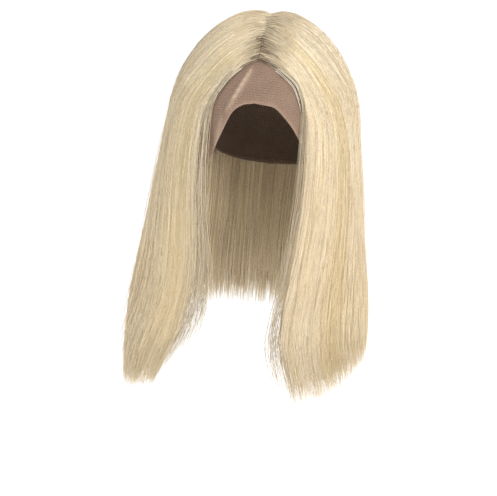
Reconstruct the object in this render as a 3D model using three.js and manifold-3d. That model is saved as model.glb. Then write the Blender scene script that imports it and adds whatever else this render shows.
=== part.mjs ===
// Straight bob wig with a centre parting, in millimetres, +Z up, the face towards -Y and +X to the wearer's left.
// The origin is the top of the head, where the inside of the cap rests on it.
// A cap of stretch net and a sheer lace front make the foundation. Hair is tied into the lace in front and
// sewn on in wefts behind, parts along the middle of the crown and hangs down as a curtain open at the face.
import * as THREE from "three";
import { mergeVertices } from "three/addons/utils/BufferGeometryUtils.js";
import Module from "manifold-3d";

// Head form that the foundation is fitted to
const HEAD_HALF_WIDTH = 75;
const HEAD_FRONT = 88;
const HEAD_BACK = 102;
const HEAD_HEIGHT = 95;
const HEAD_SQUARENESS = 2.2;

// Foundation
const CAP_WALL = 1.2;
const LACE_WALL = 1.2;
const LACE_REACH = 10;
const PIECE_GAP = 0.4;
const CAP_ROWS = 12;
const CAP_COLUMNS = 40;
const CROWN_FAN_SHARE = 0.012;

// Hair over the crown, measured from the same centre as the head form
const CROWN_RISE = 112;
const CROWN_POWER = 1.78;
const EQUATOR_HALF_WIDTH = 98.5;
const EQUATOR_FRONT = 93;
const EQUATOR_BACK = 121;
const HAIR_CLEARANCE = 0.8;
const THINNEST_HAIR = 1.6;
const PART_HALF_GAP = 1.6;
const PART_START = 36;
const PART_END = 104;
const PART_SHARE = 0.62;
const HAIRLINE_HALF_WIDTH = 42.5;
const HAIRLINE_SWAY = 0.3;
const CROWN_ROWS = [0, 0.05, 0.12, 0.21, 0.3, 0.4, 0.5, 0.6, 0.7, 0.8, 0.9];

// Hair below the widest level of the head
const HAIR_DROP = 262;
const CURTAIN_HALF_WIDTH = 128;
const CURTAIN_FRONT = 101;
const CURTAIN_BACK = 108;
const FACE_OPENING = 50;
const LOCK_RELIEF = 2.2;
const LOCK_TIP = 9;
const FRONT_LOCKS = 8;
const BACK_LOCKS = 20;
const SIDE_SPLIT = 0.4;
const SPLIT_GAP = 0.8;
const CURTAIN_ROWS = 8;
const COLUMNS_PER_LOCK = 3;

// Short hair tied along the hairline: a crescent between two stations of the arch, slimmer at both ends
const STRIP_WIDTH = 7;
const STRIP_DEPTH = 2.2;
const STRIP_STATIONS = 16;
const STRIP_START = 0.05;
const STRIP_END = 0.97;
const STRIP_TAPER = [0.12, 0.95];
const STRIP_EDGE_THINNING = 0.6;
const STRIP_STEP = 0.02;

// Rim of the foundation: azimuth from the face in degrees, and how far it hangs below the crown on the
// wearer's right and left, as a share of HEAD_HEIGHT
const RIM = [
  { azimuth: 0, right: 0.85, left: 0.85 },
  { azimuth: 7, right: 0.88, left: 0.86 },
  { azimuth: 13, right: 0.96, left: 0.88 },
  { azimuth: 19, right: 1.16, left: 0.96 },
  { azimuth: 25, right: 1.34, left: 1.06 },
  { azimuth: 31, right: 1.46, left: 1.18 },
  { azimuth: 38, right: 1.54, left: 1.33 },
  { azimuth: 46, right: 1.55, left: 1.47 },
  { azimuth: 56, right: 1.53, left: 1.52 },
  { azimuth: 66, right: 1.36, left: 1.36 },
  { azimuth: 78, right: 1.1, left: 1.1 },
  { azimuth: 92, right: 1.02, left: 1.02 },
  { azimuth: 110, right: 1.16, left: 1.16 },
  { azimuth: 130, right: 1.42, left: 1.42 },
  { azimuth: 155, right: 1.56, left: 1.56 },
  { azimuth: 180, right: 1.6, left: 1.6 },
];

// Arch of the hairline: share of the fall from the parting to the widest level, and half width on the wearer's
// right and left as a share of HAIRLINE_HALF_WIDTH
const HAIRLINE = [
  { fall: 0, right: 0, left: 0 },
  { fall: 0.06, right: 0.2, left: 0.31 },
  { fall: 0.16, right: 0.39, left: 0.55 },
  { fall: 0.36, right: 0.64, left: 0.87 },
  { fall: 0.58, right: 0.82, left: 1.01 },
  { fall: 0.8, right: 0.94, left: 1.07 },
  { fall: 1, right: 1, left: 1.08 },
];

// Curtain: share of HAIR_DROP below the widest level, then how far each size has gone from its value there (0)
// to its value at the hem (1), the thickness as a share of that at the widest level, and the two edges beside
// the face as shares of FACE_OPENING
const CURTAIN = [
  { drop: 0, width: 0, front: 0, back: 0, thickness: 1, right: 0.85, left: 0.94 },
  { drop: 0.12, width: 0.15, front: 0.2, back: 0.12, thickness: 1.02, right: 0.92, left: 1.02 },
  { drop: 0.26, width: 0.35, front: 0.4, back: 0.5, thickness: 1.05, right: 0.86, left: 1.03 },
  { drop: 0.42, width: 0.52, front: 0.55, back: 1.15, thickness: 1.08, right: 0.72, left: 0.97 },
  { drop: 0.58, width: 0.76, front: 0.75, back: 1.4, thickness: 1.05, right: 0.62, left: 0.87 },
  { drop: 0.72, width: 0.93, front: 0.9, back: 1.3, thickness: 0.98, right: 0.72, left: 0.78 },
  { drop: 0.86, width: 1.04, front: 1, back: 1.15, thickness: 0.86, right: 0.98, left: 0.82 },
  { drop: 1, width: 1.06, front: 1, back: 1, thickness: 0.7, right: 1.4, left: 1.1 },
];

// Hem: share of the way round from the face to the middle of the back, and the length there on each side as a
// share of HAIR_DROP
const HEM = [
  { way: 0, right: 0.89, left: 1.003 },
  { way: 0.04, right: 1.015, left: 1.03 },
  { way: 0.1, right: 1.05, left: 1.028 },
  { way: 0.18, right: 1.08, left: 1.003 },
  { way: 0.28, right: 1.08, left: 0.943 },
  { way: 0.38, right: 1, left: 0.903 },
  { way: 0.5, right: 0.89, left: 0.868 },
  { way: 0.75, right: 0.84, left: 0.84 },
  { way: 1, right: 0.83, left: 0.83 },
];

// Fullness of the hair, as a share of the room between the foundation and the outer form: along a strand from
// the parting, and round from the edge at the face
const ROOT_FULLNESS = [
  { at: 0, share: 0.12 },
  { at: 0.07, share: 0.42 },
  { at: 0.2, share: 0.8 },
  { at: 0.4, share: 0.97 },
  { at: 1, share: 1 },
];
const EDGE_FULLNESS = [
  { at: 0, share: 0.2 },
  { at: 0.04, share: 0.55 },
  { at: 0.12, share: 0.86 },
  { at: 0.24, share: 1 },
  { at: 1, share: 1 },
];

const CENTRE = new THREE.Vector3(0, 0, -HEAD_HEIGHT);
const RIGHT = -1;
const LEFT = 1;
const HALF_TURN = Math.PI;
const sideName = (side) => (side === RIGHT ? "right" : "left");
const signedPower = (value, power) => Math.sign(value) * Math.abs(value) ** power;
const mix = THREE.MathUtils.lerp;

// A smooth curve through one column of a table, with flat ends where it turns back
function smooth(table, key, column, at) {
  const last = table.length - 1;
  if (at <= table[0][key]) return table[0][column];
  if (at >= table[last][key]) return table[last][column];
  const i = table.findIndex((row) => row[key] > at) - 1;
  const slope = (j) => {
    const before = table[Math.max(j - 1, 0)];
    const after = table[Math.min(j + 1, last)];
    return (after[column] - before[column]) / (after[key] - before[key]);
  };
  const [a, b] = [table[i], table[i + 1]];
  const span = b[key] - a[key];
  const u = (at - a[key]) / span;
  const [m0, m1] = [slope(i) * span, slope(i + 1) * span];
  const u2 = u * u;
  const u3 = u2 * u;
  return (
    (2 * u3 - 3 * u2 + 1) * a[column] + (u3 - 2 * u2 + u) * m0 + (3 * u2 - 2 * u3) * b[column] + (u3 - u2) * m1
  );
}

// Distance from the centre to a rounded form, along a unit direction
function formRadius(direction, halfWidth, front, back, height, power) {
  const length = direction.y < 0 ? front : back;
  return (
    Math.abs(direction.x / halfWidth) ** power +
    Math.abs(direction.y / length) ** power +
    Math.abs(direction.z / height) ** power
  ) ** (-1 / power);
}

function headRadius(direction, offset) {
  return formRadius(
    direction,
    HEAD_HALF_WIDTH + offset,
    HEAD_FRONT + offset,
    HEAD_BACK + offset,
    HEAD_HEIGHT + offset,
    HEAD_SQUARENESS,
  );
}

function crownRadius(direction) {
  return formRadius(
    direction,
    EQUATOR_HALF_WIDTH,
    EQUATOR_FRONT,
    EQUATOR_BACK,
    CROWN_RISE,
    mix(2, CROWN_POWER, Math.min(Math.max(2 * direction.z, 0), 1)),
  );
}

const HAIR_OFFSET = Math.max(CAP_WALL, LACE_WALL) + HAIR_CLEARANCE;
const fromCentre = (direction, radius) => direction.clone().multiplyScalar(radius).add(CENTRE);
const facing = (azimuth) => new THREE.Vector3(Math.sin(azimuth), -Math.cos(azimuth), 0);

// A closed shell from two grids of points of one size: rows run along the shell, columns across it
function closedShell(outer, inner, wrapped) {
  const rows = outer.length;
  const columns = outer[0].length;
  const points = [...outer.flat(), ...inner.flat()];
  const at = (layer, i, j) => layer * rows * columns + i * columns + (j % columns);
  const faces = [];
  const quad = (a, b, c, d) => faces.push(a, b, c, a, c, d);
  const across = wrapped ? columns : columns - 1;
  for (let i = 0; i < rows - 1; i++) {
    for (let j = 0; j < across; j++) {
      quad(at(0, i, j), at(0, i + 1, j), at(0, i + 1, j + 1), at(0, i, j + 1));
      quad(at(1, i, j), at(1, i, j + 1), at(1, i + 1, j + 1), at(1, i + 1, j));
    }
  }
  for (let j = 0; j < across; j++) {
    quad(at(0, 0, j), at(0, 0, j + 1), at(1, 0, j + 1), at(1, 0, j));
    quad(at(0, rows - 1, j), at(1, rows - 1, j), at(1, rows - 1, j + 1), at(0, rows - 1, j + 1));
  }
  if (!wrapped) {
    for (let i = 0; i < rows - 1; i++) {
      quad(at(0, i, 0), at(1, i, 0), at(1, i + 1, 0), at(0, i + 1, 0));
      const j = columns - 1;
      quad(at(0, i, j), at(0, i + 1, j), at(1, i + 1, j), at(1, i, j));
    }
  }
  const geometry = new THREE.BufferGeometry();
  geometry.setAttribute("position", new THREE.Float32BufferAttribute(points.flatMap((p) => p.toArray()), 3));
  geometry.setIndex(faces);
  return geometry;
}

const wasm = await Module();
wasm.setup();

function toSolid(geometry) {
  const bare = new THREE.BufferGeometry();
  bare.setAttribute("position", geometry.getAttribute("position"));
  bare.setIndex(geometry.getIndex());
  const merged = mergeVertices(bare, 1e-4);
  return new wasm.Manifold(
    new wasm.Mesh({
      numProp: 3,
      vertProperties: new Float32Array(merged.getAttribute("position").array),
      triVerts: new Uint32Array(merged.getIndex().array),
    }),
  );
}

function toGeometry(solid) {
  const mesh = solid.getMesh();
  const geometry = new THREE.BufferGeometry();
  geometry.setAttribute("position", new THREE.Float32BufferAttribute(mesh.vertProperties, 3));
  geometry.setIndex(new THREE.Uint32BufferAttribute(mesh.triVerts, 1));
  return geometry;
}

function boxSolid(low, high) {
  const size = new THREE.Vector3().subVectors(high, low);
  const middle = new THREE.Vector3().addVectors(high, low).multiplyScalar(0.5);
  const box = new THREE.BoxGeometry(size.x, size.y, size.z).translate(middle.x, middle.y, middle.z);
  return toSolid(box);
}

// The foundation is one dome from the crown to its rim
function foundationShell(wall) {
  const layer = (offset) => {
    const grid = [];
    for (let i = 0; i <= CAP_ROWS; i++) {
      const ring = [];
      for (let j = 0; j < CAP_COLUMNS; j++) {
        const turn = (j / CAP_COLUMNS) * 2 * HALF_TURN;
        const signed = turn > HALF_TURN ? turn - 2 * HALF_TURN : turn;
        const side = signed < 0 ? RIGHT : LEFT;
        const degrees = Math.abs(THREE.MathUtils.radToDeg(signed));
        const drop = smooth(RIM, "azimuth", sideName(side), degrees) * HEAD_HEIGHT;
        const rim = signedPower((HEAD_HEIGHT - drop) / (HEAD_HEIGHT + offset), HEAD_SQUARENESS / 2);
        const polar = Math.acos(rim) * mix(CROWN_FAN_SHARE, 1, i / CAP_ROWS);
        const level = signedPower(Math.cos(polar), 2 / HEAD_SQUARENESS) * (HEAD_HEIGHT + offset);
        const flat = facing(signed);
        const reach = headRadius(flat, offset) * signedPower(Math.sin(polar), 2 / HEAD_SQUARENESS);
        ring.push(new THREE.Vector3(flat.x * reach, flat.y * reach, CENTRE.z + level));
      }
      grid.push(ring);
    }
    return grid;
  };
  return closedDome(layer(wall), layer(0));
}

// Two wrapped grids closed at the crown by a fan and at the rim by a wall
function closedDome(outer, inner) {
  const columns = outer[0].length;
  const rows = outer.length;
  const crown = (grid) => new THREE.Vector3(0, 0, grid[0][0].z);
  const points = [...outer.flat(), ...inner.flat(), crown(outer), crown(inner)];
  const at = (layer, i, j) => layer * rows * columns + i * columns + (j % columns);
  const [topOut, topIn] = [points.length - 2, points.length - 1];
  const faces = [];
  const quad = (a, b, c, d) => faces.push(a, b, c, a, c, d);
  for (let j = 0; j < columns; j++) {
    faces.push(topOut, at(0, 0, j), at(0, 0, j + 1), topIn, at(1, 0, j + 1), at(1, 0, j));
    for (let i = 0; i < rows - 1; i++) {
      quad(at(0, i, j), at(0, i + 1, j), at(0, i + 1, j + 1), at(0, i, j + 1));
      quad(at(1, i, j), at(1, i, j + 1), at(1, i + 1, j + 1), at(1, i + 1, j));
    }
    quad(at(0, rows - 1, j), at(1, rows - 1, j), at(1, rows - 1, j + 1), at(0, rows - 1, j + 1));
  }
  const geometry = new THREE.BufferGeometry();
  geometry.setAttribute("position", new THREE.Float32BufferAttribute(points.flatMap((p) => p.toArray()), 3));
  geometry.setIndex(faces);
  return geometry;
}

// The lace is the front of the foundation and the cap is the back, sewn edge to edge over the crown
function foundationPiece(wall, nearest, farthest) {
  const beyond = 2 * HEAD_BACK;
  const room = boxSolid(new THREE.Vector3(-beyond, nearest, -2 * beyond), new THREE.Vector3(beyond, farthest, beyond));
  return toGeometry(toSolid(foundationShell(wall)).intersect(room));
}

// Azimuth of the edge beside the face at one level of the curtain
function edgeAzimuth(side, drop) {
  const x = smooth(CURTAIN, "drop", sideName(side), drop) * FACE_OPENING;
  const halfWidth = mix(EQUATOR_HALF_WIDTH, CURTAIN_HALF_WIDTH, smooth(CURTAIN, "drop", "width", drop));
  const front = mix(EQUATOR_FRONT, CURTAIN_FRONT, smooth(CURTAIN, "drop", "front", drop));
  return Math.atan2(x, front * Math.sqrt(Math.max(0, 1 - (x / halfWidth) ** 2)));
}

// Outer radius of the curtain at an azimuth
function curtainRadius(azimuth, drop) {
  const sized = (from, to, column) => mix(from, to, smooth(CURTAIN, "drop", column, drop));
  const halfWidth = sized(EQUATOR_HALF_WIDTH, CURTAIN_HALF_WIDTH, "width");
  const front = sized(EQUATOR_FRONT, CURTAIN_FRONT, "front");
  const back = sized(EQUATOR_BACK, CURTAIN_BACK, "back");
  return formRadius(facing(azimuth), halfWidth, front, back, 1, 2);
}

// Room for hair between the foundation and the outer form at the widest level
function equatorThickness(azimuth) {
  return crownRadius(facing(azimuth)) - headRadius(facing(azimuth), HAIR_OFFSET);
}

// Radius that clears the foundation below the widest level, or nothing once it has tapered away
function clearOfFoundation(azimuth, depth) {
  const taper = 1 - (depth / (HEAD_HEIGHT + HAIR_OFFSET)) ** HEAD_SQUARENESS;
  return headRadius(facing(azimuth), HAIR_OFFSET) * Math.max(taper, 0) ** (1 / HEAD_SQUARENESS);
}

// Direction of the root of the strand that goes `way` round from the face
function rootDirection(side, way) {
  const share = Math.min(way / PART_SHARE, 1);
  const tilt = THREE.MathUtils.degToRad(mix(PART_START, PART_END, share));
  const along = new THREE.Vector3(0, -Math.cos(tilt), Math.sin(tilt));
  const turn = ((way - PART_SHARE) / (1 - PART_SHARE)) * (HALF_TURN / 2);
  const round = way > PART_SHARE ? turn : 0;
  const behind = new THREE.Vector3(0, Math.sin(tilt), Math.cos(tilt));
  const aside = new THREE.Vector3(side * Math.cos(round), 0, 0).addScaledVector(behind, Math.sin(round));
  return along.addScaledVector(aside, PART_HALF_GAP / CROWN_RISE).normalize();
}

// Direction of a point of the hairline, on the surface of the lace
function hairlineDirection(side, along) {
  const apex = fromCentre(rootDirection(side, 0), headRadius(rootDirection(side, 0), LACE_WALL));
  const z = mix(apex.z, CENTRE.z, smooth(HAIRLINE, "fall", "fall", along));
  const x = Math.max(smooth(HAIRLINE, "fall", sideName(side), along) * HAIRLINE_HALF_WIDTH, Math.abs(apex.x));
  const rest =
    1 -
    (x / (HEAD_HALF_WIDTH + LACE_WALL)) ** HEAD_SQUARENESS -
    Math.abs((z - CENTRE.z) / (HEAD_HEIGHT + LACE_WALL)) ** HEAD_SQUARENESS;
  const y = -(HEAD_FRONT + LACE_WALL) * Math.max(rest, 0) ** (1 / HEAD_SQUARENESS);
  return new THREE.Vector3(side * x, y, z - CENTRE.z).normalize();
}

function between(from, to, share) {
  const angle = from.angleTo(to);
  const weight = (part) => Math.sin(part * angle) / Math.sin(angle);
  return from.clone().multiplyScalar(weight(1 - share)).addScaledVector(to, weight(share));
}

// Direction of a strand over the crown: straight over from the parting, and along the hairline at the face
function crownDirection(side, way, along) {
  const edge = side * edgeAzimuth(side, 0);
  const azimuth = mix(edge, side * HALF_TURN, way);
  const straight = between(rootDirection(side, way), facing(azimuth), along);
  if (way >= HAIRLINE_SWAY) return straight;
  const plain = between(rootDirection(side, 0), facing(edge), along);
  const sway = hairlineDirection(side, along).sub(plain);
  return straight.addScaledVector(sway, (1 - way / HAIRLINE_SWAY) ** 2).normalize();
}

// One point of the hair: `way` round from the face, `along` from root (0) to widest level (1) to tip (2),
// on the inner (0) or outer (1) side
function hairPoint(side, way, along, outerShare, relief, tip) {
  const edge = smooth(EDGE_FULLNESS, "at", "share", way);
  if (along <= 1) {
    const direction = crownDirection(side, way, along);
    const inner = headRadius(direction, HAIR_OFFSET);
    const room = Math.max(crownRadius(direction) - inner, THINNEST_HAIR);
    const full = edge * smooth(ROOT_FULLNESS, "at", "share", along);
    const thickness = Math.max(room * full + relief * along, THINNEST_HAIR);
    return fromCentre(direction, inner + outerShare * thickness);
  }
  const length = smooth(HEM, "way", sideName(side), way) + tip;
  const drop = (along - 1) * length;
  const azimuth = mix(side * edgeAzimuth(side, drop), side * HALF_TURN, way);
  const room = equatorThickness(azimuth) * smooth(CURTAIN, "drop", "thickness", drop);
  const inner = Math.max(curtainRadius(azimuth, drop) - room, clearOfFoundation(azimuth, drop * HAIR_DROP));
  const thickness = Math.max(room * edge + relief, THINNEST_HAIR);
  const point = facing(azimuth).multiplyScalar(inner + outerShare * thickness);
  return point.setZ(CENTRE.z - drop * HAIR_DROP);
}

const strandRows = [
  ...CROWN_ROWS,
  ...Array.from({ length: CURTAIN_ROWS + 1 }, (_, i) => 1 + i / CURTAIN_ROWS),
];

// Hair sections are walls of locks: each lock swells between two grooves and ends in a point
function hairColumns(side, from, to, locks) {
  const count = locks * COLUMNS_PER_LOCK;
  return Array.from({ length: count + 1 }, (_, j) => {
    const phase = (j % COLUMNS_PER_LOCK) / COLUMNS_PER_LOCK;
    return { side, way: mix(from, to, j / count), swell: Math.sin(phase * HALF_TURN) };
  });
}

function hairWall(columns) {
  const grid = (outerShare) =>
    strandRows.map((along) =>
      columns.map(({ side, way, swell }) => {
        const relief = (swell - 1) * LOCK_RELIEF * outerShare;
        const tip = (swell - 1) * (LOCK_TIP / HAIR_DROP);
        return hairPoint(side, way, along, outerShare, relief, tip);
      }),
    );
  return closedShell(grid(1), grid(0), false);
}

const splitShare = SPLIT_GAP / (HALF_TURN * EQUATOR_HALF_WIDTH);

function frontHair(side) {
  const columns = hairColumns(side, 0, SIDE_SPLIT - splitShare, FRONT_LOCKS);
  return hairWall(side === LEFT ? columns : columns.reverse());
}

function backHair() {
  const half = (side) => hairColumns(side, SIDE_SPLIT + splitShare, 1, BACK_LOCKS / 2);
  return hairWall([...half(LEFT), ...half(RIGHT).reverse().slice(1)]);
}

// The short hair along the hairline is a thin crescent on the lace
function hairlineStrip(side) {
  const outer = [[], [], []];
  const inner = [[], [], []];
  for (let i = 0; i <= STRIP_STATIONS; i++) {
    const along = mix(STRIP_START, STRIP_END, i / STRIP_STATIONS);
    const taper = Math.sin(mix(...STRIP_TAPER, i / STRIP_STATIONS) * HALF_TURN);
    const direction = hairlineDirection(side, along);
    const ahead = hairlineDirection(side, along + STRIP_STEP).sub(hairlineDirection(side, along - STRIP_STEP));
    const inward = new THREE.Vector3().crossVectors(direction, ahead).normalize();
    if (inward.x * side > 0) inward.negate();
    const radius = headRadius(direction, LACE_WALL);
    [0, 0.5, 1].forEach((share, k) => {
      const slide = (PIECE_GAP * 2 + share * STRIP_WIDTH * taper) / radius;
      const place = direction.clone().addScaledVector(inward, slide).normalize();
      const low = headRadius(place, LACE_WALL + PIECE_GAP);
      const rise = STRIP_DEPTH * taper * (1 - STRIP_EDGE_THINNING * share);
      inner[k].push(fromCentre(place, low));
      outer[k].push(fromCentre(place, low + rise));
    });
  }
  return side === LEFT ? closedShell(outer, inner, false) : closedShell(outer.reverse(), inner.reverse(), false);
}

const fabric = (color, roughness) => new THREE.MeshStandardMaterial({ color, roughness, metalness: 0 });
const HAIR = fabric(0xe9d3a2, 0.45);
const FINE_HAIR = fabric(0xefe2c4, 0.5);
const LACE = new THREE.MeshStandardMaterial({
  color: 0xb59680,
  roughness: 0.8,
  metalness: 0,
  transparent: true,
  opacity: 0.5,
});
const NET = fabric(0x7d6150, 0.9);

const wig = new THREE.Group();
function add(name, geometry, material) {
  const mesh = new THREE.Mesh(geometry, material);
  mesh.name = name;
  wig.add(mesh);
}

const farBack = 2 * HEAD_BACK;
add("lace_front", foundationPiece(LACE_WALL, -farBack, LACE_REACH - PIECE_GAP / 2), LACE);
add("cap_net", foundationPiece(CAP_WALL, LACE_REACH + PIECE_GAP / 2, farBack), NET);
add("hair_front_right", frontHair(RIGHT), HAIR);
add("hair_front_left", frontHair(LEFT), HAIR);
add("hair_back", backHair(), HAIR);
add("hairline_right", hairlineStrip(RIGHT), FINE_HAIR);
add("hairline_left", hairlineStrip(LEFT), FINE_HAIR);

export default wig;
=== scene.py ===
# A straight pale blonde bob wig with a centre parting: a stretch net cap with a sheer lace front, and hair tied
# and sewn to it in locks that hang open at the face. Metres, +Z up, face towards -Y, +X to the wearer's left.
import math

import bpy
import numpy as np
from mathutils import Matrix, Vector


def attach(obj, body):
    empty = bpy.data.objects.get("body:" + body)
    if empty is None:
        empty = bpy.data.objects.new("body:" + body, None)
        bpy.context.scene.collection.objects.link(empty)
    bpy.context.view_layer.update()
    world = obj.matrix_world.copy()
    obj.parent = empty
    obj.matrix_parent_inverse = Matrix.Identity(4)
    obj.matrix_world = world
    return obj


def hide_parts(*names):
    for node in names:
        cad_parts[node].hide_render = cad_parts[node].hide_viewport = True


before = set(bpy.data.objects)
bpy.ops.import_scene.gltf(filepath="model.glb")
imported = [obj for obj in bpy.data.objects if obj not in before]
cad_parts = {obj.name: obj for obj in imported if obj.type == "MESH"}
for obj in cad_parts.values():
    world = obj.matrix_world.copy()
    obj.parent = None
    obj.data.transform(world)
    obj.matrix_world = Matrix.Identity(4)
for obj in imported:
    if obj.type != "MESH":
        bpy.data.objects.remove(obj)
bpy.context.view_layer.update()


# Studio
# A pale floor well below the hanging hair and a pale wall far behind it, in an even bright room. Large soft boxes
# light the wig from both sides in front, from above and from behind. The camera looks a little down and leans.
CAMERA_AZIMUTH = math.radians(7)
CAMERA_DISTANCE = 1.05
CAMERA_HEIGHT = -0.04
CAMERA_AIM = Vector((-0.00455, 0, -0.2345))
CAMERA_LEAN = math.radians(4.76)
LENS = 73.5
FLOOR_LEVEL = -0.62
WALL_DISTANCE = 3.0
WALL_HEIGHT = 4.0
BEND_RADIUS = 1.2
PAPER = (0.95, 0.95, 0.95, 1)
PAPER_GLOW = 0.45
BEND_STEPS = 16
ROOM_BRIGHTNESS = 0.45
LIGHTS_AIM = Vector((0, 0, -0.17))
SOFT_BOXES = {
    "key": {"position": (0.9, -1.25, 0.55), "size": 0.7, "power": 15.8},
    "fill": {"position": (-1.0, -1.2, -0.4), "size": 0.9, "power": 3.2},
    "top": {"position": (0.75, -0.4, 0.9), "size": 0.6, "power": 2.5},
    "back": {"position": (0.3, 1.6, 1.2), "size": 0.8, "power": 3},
}

camera_data = bpy.data.cameras.new("camera")
camera_data.lens = LENS
camera = bpy.data.objects.new("camera", camera_data)
place = Vector(
    (
        math.sin(CAMERA_AZIMUTH) * CAMERA_DISTANCE,
        -math.cos(CAMERA_AZIMUTH) * CAMERA_DISTANCE,
        CAMERA_HEIGHT,
    )
)
look = (CAMERA_AIM - place).normalized()
level = look.cross(Vector((0, 0, 1))).normalized()
upright = level.cross(look)
across = level * math.cos(CAMERA_LEAN) + upright * math.sin(CAMERA_LEAN)
above = upright * math.cos(CAMERA_LEAN) - level * math.sin(CAMERA_LEAN)
camera.matrix_world = Matrix.Translation(place) @ Matrix((across, above, -look)).transposed().to_4x4()
bpy.context.collection.objects.link(camera)
bpy.context.scene.camera = camera

paper = bpy.data.materials.new("studio_paper")
paper.use_nodes = True
paper_shader = paper.node_tree.nodes["Principled BSDF"]
paper_shader.inputs["Base Color"].default_value = PAPER
paper_shader.inputs["Roughness"].default_value = 0.9
paper_shader.inputs["Emission Color"].default_value = (1, 1, 1, 1)
paper_shader.inputs["Emission Strength"].default_value = PAPER_GLOW


# One sheet of paper runs from in front of the wig over a wide bend up the wall
bend = [math.radians(90 * k / BEND_STEPS) for k in range(BEND_STEPS + 1)]
profile = [(-WALL_DISTANCE, FLOOR_LEVEL)]
profile += [
    (WALL_DISTANCE - BEND_RADIUS + math.sin(t) * BEND_RADIUS, FLOOR_LEVEL + (1 - math.cos(t)) * BEND_RADIUS)
    for t in bend
]
profile.append((WALL_DISTANCE, WALL_HEIGHT))
paper_mesh = bpy.data.meshes.new("floor")
paper_mesh.from_pydata(
    [(x, y, z) for y, z in profile for x in (-WALL_DISTANCE * 2, WALL_DISTANCE * 2)],
    [],
    [(2 * k, 2 * k + 1, 2 * k + 3, 2 * k + 2) for k in range(len(profile) - 1)],
)
paper_mesh.polygons.foreach_set("use_smooth", [True] * len(paper_mesh.polygons))
paper_mesh.materials.append(paper)
floor = bpy.data.objects.new("floor", paper_mesh)
bpy.context.collection.objects.link(floor)

world = bpy.data.worlds.new("room")
bpy.context.scene.world = world
world.use_nodes = True
world.node_tree.nodes["Background"].inputs["Color"].default_value = (1, 1, 1, 1)
world.node_tree.nodes["Background"].inputs["Strength"].default_value = ROOM_BRIGHTNESS


def soft_box(name, position, size, power):
    light = bpy.data.lights.new(name, "AREA")
    light.shape = "DISK"
    light.size = size
    light.energy = power
    lamp = bpy.data.objects.new(name, light)
    lamp.location = position
    towards = LIGHTS_AIM - Vector(position)
    lamp.rotation_euler = towards.to_track_quat("-Z", "Y").to_euler()
    bpy.context.collection.objects.link(lamp)


for box_name, box in SOFT_BOXES.items():
    soft_box(box_name, **box)
bpy.context.scene.view_settings.view_transform = "Standard"


# Head form
# The foundation is blocked on a head form: a rounded dome that widens to the level of the temples and turns in
# below it. Its rim is cut high over the forehead, low at the temples and behind the ears, and lowest at the nape.
HEAD_HALF_WIDTH = 0.075
HEAD_FRONT = 0.088
HEAD_BACK = 0.102
HEAD_HEIGHT = 0.095
HEAD_SQUARENESS = 2.2
CENTRE = np.array([0, 0, -HEAD_HEIGHT])
RIGHT = -1
LEFT = 1

RIM = {
    "azimuth": [0, 7, 13, 19, 25, 31, 38, 46, 56, 66, 78, 92, 110, 130, 155, 180],
    "right": [0.85, 0.88, 0.96, 1.16, 1.34, 1.46, 1.54, 1.55, 1.53, 1.36, 1.1, 1.02, 1.16, 1.42, 1.56, 1.6],
    "left": [0.85, 0.86, 0.88, 0.96, 1.06, 1.18, 1.33, 1.47, 1.52, 1.36, 1.1, 1.02, 1.16, 1.42, 1.56, 1.6],
}


def side_name(side):
    return "right" if side == RIGHT else "left"


def smooth(table, key, column, at):
    """A smooth curve through one column of a table, held level past its ends."""
    keys = np.asarray(table[key], float)
    values = np.asarray(table[column], float)
    at = np.clip(np.asarray(at, float), keys[0], keys[-1])
    before = np.maximum(np.arange(len(keys)) - 1, 0)
    after = np.minimum(np.arange(len(keys)) + 1, len(keys) - 1)
    slopes = (values[after] - values[before]) / (keys[after] - keys[before])
    i = np.clip(np.searchsorted(keys, at, side="right") - 1, 0, len(keys) - 2)
    span = keys[i + 1] - keys[i]
    u = (at - keys[i]) / span
    return (
        (2 * u**3 - 3 * u**2 + 1) * values[i]
        + (u**3 - 2 * u**2 + u) * slopes[i] * span
        + (3 * u**2 - 2 * u**3) * values[i + 1]
        + (u**3 - u**2) * slopes[i + 1] * span
    )


def form_radius(direction, half_width, front, back, height, power):
    """Distance from the centre to a rounded form, along unit directions."""
    length = np.where(direction[..., 1] < 0, front, back)
    total = (
        np.abs(direction[..., 0] / half_width) ** power
        + np.abs(direction[..., 1] / length) ** power
        + np.abs(direction[..., 2] / height) ** power
    )
    return total ** (-1 / power)


def head_radius(direction, offset):
    return form_radius(
        direction,
        HEAD_HALF_WIDTH + offset,
        HEAD_FRONT + offset,
        HEAD_BACK + offset,
        HEAD_HEIGHT + offset,
        HEAD_SQUARENESS,
    )


def unit(vectors):
    return vectors / np.linalg.norm(vectors, axis=-1, keepdims=True)


def from_centre(direction, radius):
    return direction * np.asarray(radius)[..., None] + CENTRE


def facing(azimuth):
    azimuth = np.asarray(azimuth, float)
    return np.stack([np.sin(azimuth), -np.cos(azimuth), np.zeros_like(azimuth)], -1)


def between(start, end, share):
    """Unit directions that turn from start to end."""
    angle = np.arccos(np.clip(np.sum(start * end, -1), -1, 1))[..., None]
    angle = np.maximum(angle, 1e-6)
    share = np.asarray(share)[..., None]
    return (np.sin((1 - share) * angle) * start + np.sin(share * angle) * end) / np.sin(angle)


def rim_direction(azimuth):
    """Directions from the centre to the cut rim, at azimuths in radians."""
    degrees = np.degrees(np.abs(azimuth))
    right = smooth(RIM, "azimuth", "right", degrees)
    left = smooth(RIM, "azimuth", "left", degrees)
    drop = np.where(azimuth < 0, right, left) * HEAD_HEIGHT
    rise = np.clip((HEAD_HEIGHT - drop) / HEAD_HEIGHT, -1, 1)
    reach = (1 - np.abs(rise) ** HEAD_SQUARENESS) ** (1 / HEAD_SQUARENESS)
    flat = facing(azimuth)
    point = flat * (head_radius(flat, 0) * reach)[..., None]
    point[..., 2] = rise * HEAD_HEIGHT
    return unit(point)


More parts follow.
